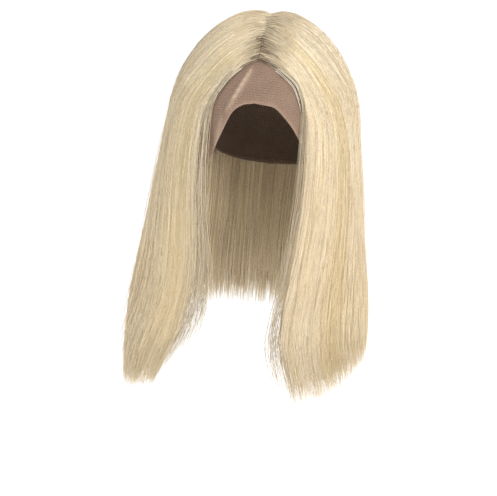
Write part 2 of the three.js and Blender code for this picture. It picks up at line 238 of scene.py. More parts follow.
def grid_object(name, layers):
    """One closed skin from an outer and an inner grid of points, with smooth faces that point outwards."""
    outer, inner = layers
    rows, columns = outer.shape[:2]
    points = np.concatenate([outer.reshape(-1, 3), inner.reshape(-1, 3)])
    at = np.arange(rows * columns).reshape(rows, columns)
    under = at + rows * columns
    a, b, c, d = at[:-1, :-1], at[1:, :-1], at[1:, 1:], at[:-1, 1:]
    quads = [
        np.stack([a, b, c, d], -1).reshape(-1, 4),
        np.stack([a, d, c, b], -1).reshape(-1, 4) + rows * columns,
        np.stack([at[0, :-1], at[0, 1:], under[0, 1:], under[0, :-1]], -1),
        np.stack([at[-1, :-1], under[-1, :-1], under[-1, 1:], at[-1, 1:]], -1),
        np.stack([at[:-1, 0], under[:-1, 0], under[1:, 0], at[1:, 0]], -1),
        np.stack([at[:-1, -1], at[1:, -1], under[1:, -1], under[:-1, -1]], -1),
    ]
    faces = np.concatenate(quads)
    mesh = bpy.data.meshes.new(name)
    mesh.vertices.add(len(points))
    mesh.vertices.foreach_set("co", points.ravel())
    mesh.loops.add(faces.size)
    mesh.loops.foreach_set("vertex_index", faces.ravel())
    mesh.polygons.add(len(faces))
    mesh.polygons.foreach_set("loop_start", np.arange(0, faces.size, 4))
    mesh.polygons.foreach_set("use_smooth", np.ones(len(faces), bool))
    mesh.update(calc_edges=True)
    piece = bpy.data.objects.new(name, mesh)
    bpy.context.collection.objects.link(piece)
    return piece


def point_values(piece, name, values):
    """Stores one number, or one triple, for each point of a piece."""
    values = np.asarray(values, np.float32)
    kind = "FLOAT" if values.ndim == 1 else "FLOAT_VECTOR"
    layer = piece.data.attributes.new(name, kind, "POINT")
    layer.data.foreach_set("value" if values.ndim == 1 else "vector", values.ravel())


def add_node(tree, kind, settings=None, **inputs):
    """A node with its settings, and each named input given a value or a link. Underscores stand for spaces."""
    node = tree.nodes.new(kind)
    for key, value in (settings or {}).items():
        setattr(node, key, value)
    for key, value in inputs.items():
        name = key.replace("_", " ")
        socket = next(s for s in node.inputs if s.enabled and name in (s.name, s.identifier))
        if isinstance(value, bpy.types.NodeSocket):
            tree.links.new(value, socket)
        else:
            socket.default_value = value
    return node


def out(node, name=None):
    return next(s for s in node.outputs if s.enabled and name in (None, s.name))


def calc(tree, operation, *values):
    """A Math node on numbers and sockets."""
    node = tree.nodes.new("ShaderNodeMath")
    node.operation = operation
    for socket, value in zip(node.inputs, values):
        if isinstance(value, bpy.types.NodeSocket):
            tree.links.new(value, socket)
        else:
            socket.default_value = value
    return node.outputs[0]


# Net
# Both halves of the foundation are knitted net: threads round small holes in staggered rows. One group draws it
# from a flat position in metres, and gives where the thread is and how far it stands up.
NET_SOFTNESS = 0.08


def net_group():
    tree = bpy.data.node_groups.new("knitted_net", "ShaderNodeTree")
    tree.interface.new_socket("Flat", in_out="INPUT", socket_type="NodeSocketVector")
    tree.interface.new_socket("Cell", in_out="INPUT", socket_type="NodeSocketFloat")
    tree.interface.new_socket("Thread", in_out="INPUT", socket_type="NodeSocketFloat")
    tree.interface.new_socket("Cover", in_out="OUTPUT", socket_type="NodeSocketFloat")
    tree.interface.new_socket("Height", in_out="OUTPUT", socket_type="NodeSocketFloat")
    given = tree.nodes.new("NodeGroupInput")
    parts = add_node(tree, "ShaderNodeSeparateXYZ", Vector=given.outputs["Flat"])
    waves = []
    for turn in (0, 60, 120):
        angle = math.radians(turn)
        along = calc(tree, "MULTIPLY", parts.outputs["X"], math.cos(angle))
        aside = calc(tree, "MULTIPLY", parts.outputs["Y"], math.sin(angle))
        way = calc(tree, "DIVIDE", calc(tree, "ADD", along, aside), given.outputs["Cell"])
        waves.append(calc(tree, "COSINE", calc(tree, "MULTIPLY", way, 2 * math.pi)))
    hole = calc(tree, "ADD", calc(tree, "ADD", waves[0], waves[1]), waves[2])
    share = calc(tree, "DIVIDE", calc(tree, "ADD", hole, 1.5), 4.5)
    cover = add_node(
        tree,
        "ShaderNodeMapRange",
        {"interpolation_type": "SMOOTHSTEP"},
        Value=share,
        From_Min=calc(tree, "ADD", given.outputs["Thread"], NET_SOFTNESS),
        From_Max=calc(tree, "SUBTRACT", given.outputs["Thread"], NET_SOFTNESS),
    )
    made = tree.nodes.new("NodeGroupOutput")
    tree.links.new(out(cover), made.inputs["Cover"])
    tree.links.new(calc(tree, "SUBTRACT", 1, share), made.inputs["Height"])
    return tree


knitted_net = net_group()


KNIT_ROW = 0.0024
ROW_TONE = 0.3
PATCH_SCALE = 60.0
ROLL_RADIUS = 0.09
# The lighter tone along the lace crease is a painted highlight on its ridge.
FOLD_HIGHLIGHT = (0.56, 0.42, 0.3, 1)


def net_material(name, thread, dark, cell, share, hole_alpha, bump):
    """Knitted net in one colour, with its holes partly or fully open."""
    material = bpy.data.materials.new(name)
    material.use_nodes = True
    tree = material.node_tree
    shader = tree.nodes["Principled BSDF"]
    flat = add_node(tree, "ShaderNodeUVMap", {"uv_map": "flat"})
    net = tree.nodes.new("ShaderNodeGroup")
    net.node_tree = knitted_net
    tree.links.new(out(flat), net.inputs["Flat"])
    net.inputs["Cell"].default_value = cell
    net.inputs["Thread"].default_value = share
    edge = add_node(tree, "ShaderNodeAttribute", {"attribute_name": "edge"})
    place = add_node(tree, "ShaderNodeTexCoord").outputs["Object"]
    patch = add_node(tree, "ShaderNodeTexNoise", Vector=place, Scale=PATCH_SCALE)
    down = add_node(tree, "ShaderNodeSeparateXYZ", Vector=out(flat)).outputs["Y"]
    rows = calc(tree, "SINE", calc(tree, "MULTIPLY", down, 2 * math.pi / KNIT_ROW))
    tone = add_node(
        tree,
        "ShaderNodeMix",
        {"data_type": "RGBA"},
        Factor=calc(tree, "MULTIPLY_ADD", rows, ROW_TONE, out(patch)),
        A=dark,
        B=thread,
    )
    # Along the crease the lace is mixed towards a lighter tone, a painted highlight on the ridge, and its holes
    # close as in doubled lace.
    fold = add_node(tree, "ShaderNodeAttribute", {"attribute_name": "fold"})
    fold_highlighted = add_node(
        tree, "ShaderNodeMix", {"data_type": "RGBA"}, Factor=fold.outputs["Fac"], A=out(tone), B=FOLD_HIGHLIGHT
    )
    cover = calc(tree, "MAXIMUM", net.outputs["Cover"], edge.outputs["Fac"])
    cover = calc(tree, "MAXIMUM", cover, fold.outputs["Fac"])
    open_share = calc(tree, "MULTIPLY", calc(tree, "SUBTRACT", 1, cover), 1 - hole_alpha)
    tree.links.new(out(fold_highlighted), shader.inputs["Base Color"])
    tree.links.new(calc(tree, "SUBTRACT", 1, open_share), shader.inputs["Alpha"])
    relief = add_node(tree, "ShaderNodeBump", Height=net.outputs["Height"], Strength=0.35, Distance=bump)
    tree.links.new(out(relief), shader.inputs["Normal"])
    shader.inputs["Roughness"].default_value = 0.8
    shader.inputs["Sheen Weight"].default_value = 0.2
    return material


def flat_map(piece, directions):
    """A UV map in metres that rolls the net flat from ear to ear and from brow to nape."""
    mesh = piece.data
    aside = np.arcsin(np.clip(directions[:, 0], -1, 1)) * ROLL_RADIUS
    round_over = np.arctan2(directions[:, 1], directions[:, 2]) * ROLL_RADIUS
    flat = np.stack([aside, round_over], -1).astype(np.float32)
    corners = np.empty(len(mesh.loops), np.int32)
    mesh.loops.foreach_get("vertex_index", corners)
    layer = mesh.uv_layers.new(name="flat")
    layer.data.foreach_set("uv", flat[corners].ravel())


# Lace front
# A sheer skin-toned lace, stretched over the brow and sewn to the cap across the crown. Its free edge is cut by
# hand with pinking shears, from a tab at each temple over the forehead, and one crease runs down from the parting.
LACE_REACH = 0.0098
LACE_OFFSET = 0.0007
LACE_THICKNESS = 0.0003
LACE_COLUMNS = 480
LACE_ROWS = 36
TOOTH_PITCH = 0.0026
TOOTH_DEPTH = 0.0011
LACE_CREASES = [
    {"start": (-0.0055, -0.049), "end": (-0.026, -0.09), "height": 0.0022, "width": 0.0022},
    {"start": (-0.03, -0.096), "end": (-0.036, -0.125), "height": 0.0011, "width": 0.003},
    {"start": (0.012, -0.074), "end": (0.03, -0.09), "height": 0.0005, "width": 0.003},
]


def rim_corner(seam_place):
    """Azimuth at which the rim meets the seam over the crown, found by stepping from just behind the ear."""
    corner = np.radians(97.0)
    for _ in range(8):
        rim = rim_direction(np.array([corner]))
        corner += (seam_place - rim[0, 1] * head_radius(rim, 0)[0]) / HEAD_HALF_WIDTH
    return corner


def seam_direction(tilt, seam_place, offset):
    """Directions to the seam over the crown, at tilts in radians from straight up."""
    side = np.stack([np.sin(tilt), np.zeros_like(tilt), np.cos(tilt)], -1)
    return unit(np.stack([side[:, 0], seam_place / head_radius(side, offset), side[:, 2]], -1))


rim_azimuths = np.linspace(-1, 1, LACE_COLUMNS) * rim_corner(LACE_REACH)
rim_side = rim_direction(rim_azimuths)
rim_points = from_centre(rim_side, head_radius(rim_side, LACE_OFFSET))
rim_run = np.concatenate([[0], np.cumsum(np.linalg.norm(np.diff(rim_points, axis=0), axis=1))])
even = np.linspace(0, rim_run[-1], LACE_COLUMNS)
rim_side = rim_direction(np.interp(even, rim_run, rim_azimuths))
seam_turn = np.arctan2(rim_side[-1, 0], rim_side[-1, 2])
seam_side = seam_direction(np.linspace(-seam_turn, seam_turn, LACE_COLUMNS), LACE_REACH, LACE_OFFSET)
run = np.linspace(0, 1, LACE_ROWS)[:, None]
teeth = np.abs((even / TOOTH_PITCH) % 1 - 0.5) * 2
lace_length = np.arccos(np.clip(np.sum(seam_side * rim_side, -1), -1, 1)) * HEAD_FRONT
cut = 1 - teeth * TOOTH_DEPTH / np.maximum(lace_length, TOOTH_DEPTH * 4)
lace_side = between(
    np.broadcast_to(seam_side, (LACE_ROWS, LACE_COLUMNS, 3)),
    np.broadcast_to(rim_side, (LACE_ROWS, LACE_COLUMNS, 3)),
    run * cut,
)
lace_side = unit(lace_side)
lace_flat = from_centre(lace_side, head_radius(lace_side, LACE_OFFSET))
lift = np.zeros(lace_side.shape[:2])
for crease in LACE_CREASES:
    start, end = np.array(crease["start"]), np.array(crease["end"])
    line = end - start
    offset = lace_flat[..., [0, 2]] - start
    share = np.clip((offset @ line) / (line @ line), 0, 1)
    gap = np.linalg.norm(offset - share[..., None] * line, axis=-1)
    lift += crease["height"] * np.exp(-((gap / crease["width"]) ** 2)) * np.sin(np.pi * (0.25 + 0.6 * share))
lace_layers = [
    from_centre(lace_side, head_radius(lace_side, LACE_OFFSET) + lift + side * LACE_THICKNESS / 2)
    for side in (1, -1)
]
lace = grid_object("lace_front_net", lace_layers)
flat_map(lace, np.concatenate([lace_side.reshape(-1, 3)] * 2))
edge_band = np.clip(1.6 - (1 - run) * lace_length / 0.0014, 0, 0.8)
# The fold band marks the crease for its painted highlight and its closed holes.
fold_band = np.clip(lift / 0.002, 0, 1) ** 1.5
point_values(lace, "edge", np.concatenate([edge_band.ravel()] * 2))
point_values(lace, "fold", np.concatenate([fold_band.ravel()] * 2))
lace.data.materials.append(
    net_material(
        "lace_net",
        thread=(0.44, 0.295, 0.21, 1),
        dark=(0.33, 0.215, 0.15, 1),
        cell=0.0008,
        share=0.29,
        hole_alpha=0.08,
        bump=0.0001,
    )
)
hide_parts("lace_front")
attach(lace, "root")


# Cap
# The back of the foundation: a brown stretch net, knitted to shape and stretched over the back of the head, with
# a turned hem round the nape and behind the ears. It meets the lace over the crown.
CAP_START = 0.0102
CAP_OFFSET = 0.0006
CAP_THICKNESS = 0.0005
CAP_COLUMNS = 150
CAP_ROWS = 34
CAP_HEM = 0.004
CAP_HEM_THICKNESS = 0.0011

cap_corner = rim_corner(CAP_START)
cap_azimuths = np.linspace(cap_corner, 2 * math.pi - cap_corner, CAP_COLUMNS)
cap_azimuths = np.where(cap_azimuths > math.pi, cap_azimuths - 2 * math.pi, cap_azimuths)
cap_rim = rim_direction(cap_azimuths)
cap_turn = np.arctan2(cap_rim[0, 0], cap_rim[0, 2])
cap_seam = seam_direction(np.linspace(cap_turn, -cap_turn, CAP_COLUMNS), CAP_START, CAP_OFFSET)
cap_run = np.linspace(0, 1, CAP_ROWS)[:, None]
cap_side = unit(
    between(
        np.broadcast_to(cap_seam, (CAP_ROWS, CAP_COLUMNS, 3)),
        np.broadcast_to(cap_rim, (CAP_ROWS, CAP_COLUMNS, 3)),
        cap_run + np.zeros((1, CAP_COLUMNS)),
    )
)
cap_length = np.arccos(np.clip(np.sum(cap_seam * cap_rim, -1), -1, 1)) * HEAD_BACK
hem = np.clip(1 - (1 - cap_run) * cap_length / CAP_HEM, 0, 1) ** 0.5
cap_wall = CAP_THICKNESS + (CAP_HEM_THICKNESS - CAP_THICKNESS) * hem
cap_layers = [
    from_centre(cap_side, head_radius(cap_side, CAP_OFFSET) + side * cap_wall / 2) for side in (1, -1)
]
cap = grid_object("cap_stretch_net", cap_layers)
flat_map(cap, np.concatenate([cap_side.reshape(-1, 3)] * 2))
point_values(cap, "edge", np.concatenate([(hem > 0).astype(float).ravel()] * 2))
cap.data.materials.append(
    net_material(
        "cap_net",
        thread=(0.2, 0.14, 0.1, 1),
        dark=(0.13, 0.09, 0.065, 1),
        cell=0.0016,
        share=0.45,
        hole_alpha=0.5,
        bump=0.0003,
    )
)
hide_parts("cap_net")
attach(cap, "root")


# Hair form
# Straight hair lies over the cap from a centre parting, falls from the widest level of the head as two front
# curtains and a back, and is cut a little longer in front. The form says where a strand lies: `way` is the way
# round from the face to the middle of the back, `along` runs from root (0) past that level (1) to the tip (2).
CAP_WALL = 0.0012
HAIR_CLEARANCE = 0.0008
HAIR_OFFSET = CAP_WALL + HAIR_CLEARANCE
CROWN_RISE = 0.112
CROWN_POWER = 1.78
EQUATOR_HALF_WIDTH = 0.0985
EQUATOR_FRONT = 0.093
EQUATOR_BACK = 0.121
THINNEST_HAIR = 0.0016
PART_HALF_GAP = 0.0004
PART_WANDER = 0.0007
PART_START = 36
PART_END = 104
PART_SHARE = 0.62
PART_COVER = 0.2
PART_COVER_START = 0.14
PART_COVER_WIDTH = 0.2
HAIRLINE_HALF_WIDTH = 0.0425
HAIRLINE_SWAY = 0.3
HAIR_DROP = 0.262
CURTAIN_HALF_WIDTH = 0.128
CURTAIN_FRONT = 0.101
CURTAIN_BACK = 0.108
FACE_OPENING = 0.05
SIDE_SPLIT = 0.4

HAIRLINE = {
    "fall": [0, 0.06, 0.16, 0.36, 0.58, 0.8, 1],
    "right": [0, 0.2, 0.39, 0.64, 0.82, 0.94, 1],
    "left": [0, 0.31, 0.55, 0.87, 1.01, 1.07, 1.08],
}
CURTAIN = {
    "drop": [0, 0.12, 0.26, 0.42, 0.58, 0.72, 0.86, 1],
    "width": [0, 0.15, 0.35, 0.52, 0.76, 0.93, 1.04, 1.06],
    "front": [0, 0.2, 0.4, 0.55, 0.75, 0.9, 1, 1],
    "back": [0, 0.12, 0.5, 1.15, 1.4, 1.3, 1.15, 1],
    "thickness": [1, 1.02, 1.05, 1.08, 1.05, 0.98, 0.86, 0.7],
    "right": [0.85, 0.92, 0.86, 0.72, 0.62, 0.72, 0.98, 1.4],
    "left": [0.94, 1.02, 1.03, 0.97, 0.87, 0.78, 0.82, 1.1],
}
HEM = {
    "way": [0, 0.04, 0.1, 0.18, 0.28, 0.38, 0.5, 0.75, 1],
    "right": [0.89, 1.015, 1.05, 1.08, 1.08, 1, 0.89, 0.84, 0.83],
    "left": [1.003, 1.03, 1.028, 1.003, 0.943, 0.903, 0.868, 0.84, 0.83],
}
ROOT_FULLNESS = {"at": [0, 0.07, 0.2, 0.4, 1], "share": [0.12, 0.42, 0.8, 0.97, 1]}
EDGE_FULLNESS = {"at": [0, 0.04, 0.12, 0.24, 1], "share": [0.2, 0.55, 0.86, 1, 1]}


def mix(start, end, share):
    return start + (end - start) * share


def crown_radius(direction):
    power = mix(2, CROWN_POWER, np.clip(2 * direction[..., 2], 0, 1))
    return form_radius(direction, EQUATOR_HALF_WIDTH, EQUATOR_FRONT, EQUATOR_BACK, CROWN_RISE, power)


def curtain_sizes(drop):
    half_width = mix(EQUATOR_HALF_WIDTH, CURTAIN_HALF_WIDTH, smooth(CURTAIN, "drop", "width", drop))
    front = mix(EQUATOR_FRONT, CURTAIN_FRONT, smooth(CURTAIN, "drop", "front", drop))
    back = mix(EQUATOR_BACK, CURTAIN_BACK, smooth(CURTAIN, "drop", "back", drop))
    return half_width, front, back


def edge_azimuth(side, drop):
    """Azimuth of the edge beside the face at one level of the curtain."""
    x = smooth(CURTAIN, "drop", side_name(side), drop) * FACE_OPENING
    half_width, front, _ = curtain_sizes(drop)
    return np.arctan2(x, front * np.sqrt(np.maximum(0, 1 - (x / half_width) ** 2)))


def curtain_radius(azimuth, drop):
    half_width, front, back = curtain_sizes(drop)
    return form_radius(facing(azimuth), half_width, front, back, 1, 2)


def clear_of_foundation(azimuth, depth):
    """Radius that clears the foundation below the widest level, or nothing once it has tapered away."""
    taper = np.maximum(1 - (depth / (HEAD_HEIGHT + HAIR_OFFSET)) ** HEAD_SQUARENESS, 0)
    return head_radius(facing(azimuth), HAIR_OFFSET) * taper ** (1 / HEAD_SQUARENESS)


def root_direction(side, way):
    way = np.asarray(way, float)
    tilt = np.radians(mix(PART_START, PART_END, np.minimum(way / PART_SHARE, 1)))
    zero = np.zeros_like(tilt)
    line = np.stack([zero, -np.cos(tilt), np.sin(tilt)], -1)
    turn = np.maximum((way - PART_SHARE) / (1 - PART_SHARE), 0) * (math.pi / 2)
    aside = np.stack([side * np.cos(turn), zero, zero], -1)
    aside = aside + np.stack([zero, np.sin(tilt), np.cos(tilt)], -1) * np.sin(turn)[..., None]
    wander = PART_WANDER * (np.sin(way * 37) + 0.6 * np.sin(way * 89 + 1)) * np.minimum(way * 12, 1)
    shift = np.stack([wander, zero, zero], -1)
    return unit(line + (aside * PART_HALF_GAP + shift) / CROWN_RISE)


def hairline_direction(side, along):
    """Direction of a point of the hairline, on the surface of the lace."""
    root = root_direction(side, 0.0)
    apex = from_centre(root, head_radius(root, CAP_WALL))
    z = mix(apex[2], CENTRE[2], smooth(HAIRLINE, "fall", "fall", along))
    x = np.maximum(smooth(HAIRLINE, "fall", side_name(side), along) * HAIRLINE_HALF_WIDTH, abs(apex[0]))
    rest = (
        1
        - (x / (HEAD_HALF_WIDTH + CAP_WALL)) ** HEAD_SQUARENESS
        - np.abs((z - CENTRE[2]) / (HEAD_HEIGHT + CAP_WALL)) ** HEAD_SQUARENESS
    )
    y = -(HEAD_FRONT + CAP_WALL) * np.maximum(rest, 0) ** (1 / HEAD_SQUARENESS)
    return unit(np.stack([side * x, y, z - CENTRE[2]], -1))


def crown_direction(side, way, along):
    """Straight over from the parting, and along the hairline at the face."""
    edge = side * edge_azimuth(side, 0.0)
    azimuth = mix(edge, side * math.pi, way)
    straight = between(root_direction(side, way), facing(azimuth), along)
    plain = between(root_direction(side, np.zeros_like(way)), facing(edge + 0 * way), along)
    sway = hairline_direction(side, along) - plain
    pull = np.maximum(1 - way / HAIRLINE_SWAY, 0) ** 2
    return unit(straight + sway * pull[..., None])


def hair_points(side, way, along, outer_share):
    """Points of the hair between its inner (0) and outer (1) side, for arrays of way and along."""
    way, along = np.broadcast_arrays(np.asarray(way, float), np.asarray(along, float))
    edge = smooth(EDGE_FULLNESS, "at", "share", way)
    over = np.minimum(along, 1)
    direction = crown_direction(side, way, over)
    inner = head_radius(direction, HAIR_OFFSET)
    room = np.maximum(crown_radius(direction) - inner, THINNEST_HAIR)
    covered = PART_COVER * np.clip(way / PART_COVER_START - 1, 0, 1) * np.maximum(1 - over / PART_COVER_WIDTH, 0)
    fullness = smooth(ROOT_FULLNESS, "at", "share", over) + covered
    thickness = np.maximum(room * edge * fullness, THINNEST_HAIR)
    crown = from_centre(direction, inner + outer_share * thickness)
    drop = np.maximum(along - 1, 0) * smooth(HEM, "way", side_name(side), way)
    azimuth = mix(side * edge_azimuth(side, drop), side * math.pi, way)
    flat = facing(azimuth)
    room = (crown_radius(flat) - head_radius(flat, HAIR_OFFSET)) * smooth(CURTAIN, "drop", "thickness", drop)
    inner = np.maximum(curtain_radius(azimuth, drop) - room, clear_of_foundation(azimuth, drop * HAIR_DROP))
    thickness = np.maximum(room * edge, THINNEST_HAIR)
    curtain = flat * (inner + outer_share * thickness)[..., None]
    curtain[..., 2] = CENTRE[2] - drop * HAIR_DROP
    return np.where((along <= 1)[..., None], crown, curtain)


FALL_BLEND = 0.16


def falling_points(side, way, along, outer_share):
    """The same points, with the turn from the crown into the curtain eased over a longer stretch."""
    along = np.asarray(along, float)
    window = FALL_BLEND * np.clip(np.minimum(along - 0.3, 1.7 - along) / 0.4, 0, 1)
    steps = np.linspace(-1, 1, 7)
    weights = np.cos(steps * math.pi / 2.4)
    total = sum(
        weight * hair_points(side, way, along + step * window, outer_share)
        for weight, step in zip(weights, steps)
    )
    return total / weights.sum()


FORM_ROWS = 90
FORM_COLUMNS_PER_SIDE = 90
LONGEST_TIP = 2.025


def guide_skin(name, outer, inner, run):
    """An outer skin with its inner side stored on it, laid out flat by (across, along)."""
    rows, count = outer.shape[:2]
    at = np.arange(rows * count).reshape(rows, count)
    faces = np.stack([at[:-1, :-1], at[1:, :-1], at[1:, 1:], at[:-1, 1:]], -1).reshape(-1, 4)
    mesh = bpy.data.meshes.new(name)
    mesh.from_pydata(outer.reshape(-1, 3).tolist(), [], faces.tolist())
    form = bpy.data.objects.new(name, mesh)
    bpy.context.collection.objects.link(form)
    point_values(form, "inner", inner.reshape(-1, 3))
    flat = np.stack(np.broadcast_arrays(np.linspace(0, 1, count)[None, :], run), -1).reshape(-1, 2)
    layer = mesh.uv_layers.new(name="UVMap")
    layer.data.foreach_set("uv", flat[faces.ravel()].astype(np.float32).ravel())
    return form


def hair_form(name, columns, start=0.0, end=LONGEST_TIP):
    """A guide skin of one section of hair."""
    along = np.linspace(start, end, FORM_ROWS)[:, None]
    layers = []
    for share in (1, 0):
        layers.append(
            np.concatenate([falling_points(side, ways[None, :], along, share) for side, ways in columns], axis=1)
        )
    outer, inner = layers
    return guide_skin(name, outer, inner, (along - start) / (end - start))


# Strands
# Each strand is a fine tapered tube with three sides. The tree lays strands on a hair form from root to tip,
# gathers them into locks towards the tips, lets them drift and waver, and ends them at uneven lengths.
def strand_tree():
    tree = bpy.data.node_groups.new("hair_strands", "GeometryNodeTree")
    tree.interface.new_socket("Form", in_out="INPUT", socket_type="NodeSocketGeometry")
    numbers = {
        "Strands": ("NodeSocketInt", 100),
        "Points": ("NodeSocketInt", 20),
        "Seed": ("NodeSocketInt", 1),
        "Width": ("NodeSocketFloat", 0.0006),
        "Across From": ("NodeSocketFloat", 0.0),
        "Across To": ("NodeSocketFloat", 1.0),
        "Root": ("NodeSocketFloat", 0.0),
        "Root Spread": ("NodeSocketFloat", 0.0),
        "Tip": ("NodeSocketFloat", 1.0),
        "Tip Spread": ("NodeSocketFloat", 0.1),
        "Reach": ("NodeSocketFloat", 2.0),
        "Slant": ("NodeSocketFloat", 0.0),
        "Spacing": ("NodeSocketFloat", 1.5),
        "Knot": ("NodeSocketFloat", 1.0),
        "Depth From": ("NodeSocketFloat", 0.0),
        "Depth To": ("NodeSocketFloat", 0.2),
        "Locks": ("NodeSocketFloat", 20.0),
        "Gather": ("NodeSocketFloat", 0.4),
        "Lock Depth": ("NodeSocketFloat", 0.1),
        "Drift": ("NodeSocketFloat", 0.01),
        "Waver": ("NodeSocketFloat", 0.001),
        "Lift": ("NodeSocketFloat", 0.0),
        "Arch": ("NodeSocketFloat", 0.0),
    }
    for name, (kind, value) in numbers.items():
        socket = tree.interface.new_socket(name, in_out="INPUT", socket_type=kind)
        socket.default_value = value
    tree.interface.new_socket("Hair", in_out="INPUT", socket_type="NodeSocketMaterial")
    tree.interface.new_socket("Strands Out", in_out="OUTPUT", socket_type="NodeSocketGeometry")
    given = tree.nodes.new("NodeGroupInput").outputs

    line = add_node(tree, "GeometryNodeCurvePrimitiveLine")
    evened = add_node(tree, "GeometryNodeResampleCurve", Curve=out(line), Count=given["Points"])
    copies = add_node(
        tree, "GeometryNodeDuplicateElements", {"domain": "SPLINE"}, Geometry=out(evened), Amount=given["Strands"]
    )
    number = out(copies, "Duplicate Index")
    run = out(add_node(tree, "GeometryNodeSplineParameter"), "Factor")

    def chance(stream, low=0.0, high=1.0):
        seed = calc(tree, "ADD", given["Seed"], stream * 101)
        node = add_node(
            tree, "FunctionNodeRandomValue", {"data_type": "FLOAT"}, Min=low, Max=high, ID=number, Seed=seed
        )
        return out(node)

    place_share = calc(tree, "DIVIDE", calc(tree, "ADD", number, chance(1)), given["Strands"])
    width_share = calc(tree, "SUBTRACT", given["Across To"], given["Across From"])
    start = calc(tree, "MULTIPLY_ADD", place_share, width_share, given["Across From"])
    root = calc(tree, "MULTIPLY_ADD", given["Root Spread"], chance(2), given["Root"])
    shortening = calc(tree, "MULTIPLY", given["Tip Spread"], chance(3))
    reach = calc(tree, "MULTIPLY_ADD", given["Reach"], chance(10, 0.6, 1.0), root)
    tip = calc(tree, "MINIMUM", calc(tree, "SUBTRACT", given["Tip"], shortening), reach)
    spaced = calc(tree, "POWER", run, calc(tree, "MULTIPLY", given["Spacing"], chance(12, 0.85, 1.15)))
    along = calc(tree, "MULTIPLY_ADD", spaced, calc(tree, "SUBTRACT", tip, root), root)

    lock = add_node(
        tree,
        "ShaderNodeTexVoronoi",
        {"voronoi_dimensions": "1D"},
        W=calc(tree, "MULTIPLY", start, given["Locks"]),
        Scale=1.0,
    )
    lock_middle = calc(tree, "DIVIDE", out(lock, "W"), given["Locks"])
    lock_pull = calc(tree, "MULTIPLY", given["Gather"], calc(tree, "POWER", along, 1.5))
    gathered = calc(tree, "MULTIPLY_ADD", calc(tree, "SUBTRACT", lock_middle, start), lock_pull, start)
    drifted = calc(
        tree, "MULTIPLY_ADD", calc(tree, "MULTIPLY", given["Drift"], chance(4, -1.0, 1.0)), along, gathered
    )
    sway_place = add_node(
        tree,
        "ShaderNodeCombineXYZ",
        X=calc(tree, "MULTIPLY", start, 60.0),
        Y=calc(tree, "MULTIPLY", along, 2.5),
        Z=calc(tree, "MULTIPLY", number, 0.013),
    )
    sway = add_node(tree, "ShaderNodeTexNoise", Vector=out(sway_place), Scale=1.0, Detail=2.0)
    swayed = calc(tree, "MULTIPLY_ADD", calc(tree, "SUBTRACT", out(sway, "Fac"), 0.5), given["Drift"], drifted)
    swayed = calc(tree, "MULTIPLY_ADD", calc(tree, "MULTIPLY", given["Slant"], chance(11, 0.5, 1.0)), run, swayed)
    across = calc(tree, "MINIMUM", calc(tree, "MAXIMUM", swayed, 0.0005), 0.9995)

    depth_share = calc(tree, "POWER", chance(5), 1.5)
    depth_span = calc(tree, "SUBTRACT", given["Depth To"], given["Depth From"])
    lock_tone = add_node(tree, "ShaderNodeSeparateXYZ", Vector=out(lock, "Color"))
    lock_dip = calc(tree, "MULTIPLY", calc(tree, "MULTIPLY", out(lock_tone, "X"), given["Lock Depth"]), along)
    rounding = calc(tree, "MULTIPLY", calc(tree, "SUBTRACT", lock_middle, start), given["Locks"])
    rounding = calc(tree, "MULTIPLY", calc(tree, "MULTIPLY", rounding, rounding), given["Lock Depth"])
    depth = calc(tree, "MULTIPLY_ADD", depth_share, depth_span, given["Depth From"])
    depth = calc(tree, "ADD", calc(tree, "ADD", depth, lock_dip), rounding)
    depth = calc(tree, "MINIMUM", calc(tree, "MAXIMUM", depth, 0.0), 1.0)

    flat_place = out(add_node(tree, "ShaderNodeCombineXYZ", X=across, Y=along, Z=0.0))
    flat_layout = add_node(
        tree, "GeometryNodeInputNamedAttribute", {"data_type": "FLOAT_VECTOR"}, Name="UVMap"
    )

    def on_form(value):
        node = add_node(
            tree,
            "GeometryNodeSampleUVSurface",
            {"data_type": "FLOAT_VECTOR"},
            Mesh=given["Form"],
            Value=value,
            UV_Map=out(flat_layout),
            Sample_UV=flat_place,
        )
        return out(node)

    inner_place = add_node(
        tree, "GeometryNodeInputNamedAttribute", {"data_type": "FLOAT_VECTOR"}, Name="inner"
    )
    outer = on_form(out(add_node(tree, "GeometryNodeInputPosition")))
    inner = on_form(out(inner_place))
    between_skins = add_node(
        tree, "ShaderNodeMix", {"data_type": "VECTOR"}, Factor=depth, A=outer, B=inner
    )
    outward = add_node(tree, "ShaderNodeVectorMath", {"operation": "SUBTRACT"})
    tree.links.new(outer, outward.inputs[0])
    tree.links.new(inner, outward.inputs[1])
    outward_unit = add_node(tree, "ShaderNodeVectorMath", {"operation": "NORMALIZE"})
    tree.links.new(outward.outputs[0], outward_unit.inputs[0])
    rise = calc(tree, "MULTIPLY", calc(tree, "MULTIPLY", given["Lift"], chance(6)), calc(tree, "POWER", run, 2.0))
    bow = calc(tree, "MULTIPLY", given["Arch"], calc(tree, "SINE", calc(tree, "MULTIPLY", run, math.pi)))
    rise = calc(tree, "ADD", rise, calc(tree, "MULTIPLY", bow, chance(7, 0.4, 1.0)))
    raised = add_node(tree, "ShaderNodeVectorMath", {"operation": "SCALE"}, Scale=rise)
    tree.links.new(outward_unit.outputs[0], raised.inputs[0])
    waver_place = add_node(
        tree,
        "ShaderNodeCombineXYZ",
        X=calc(tree, "MULTIPLY", number, 1.37),
        Y=calc(tree, "MULTIPLY", along, 5.0),
        Z=given["Seed"],
    )
    waver = add_node(tree, "ShaderNodeTexNoise", Vector=out(waver_place), Scale=1.0, Detail=1.0)
    wavered = add_node(tree, "ShaderNodeVectorMath", {"operation": "SUBTRACT"})
    tree.links.new(out(waver, "Color"), wavered.inputs[0])
    wavered.inputs[1].default_value = (0.5, 0.5, 0.5)
    waver_size = calc(tree, "MULTIPLY", given["Waver"], calc(tree, "ADD", along, 0.15))
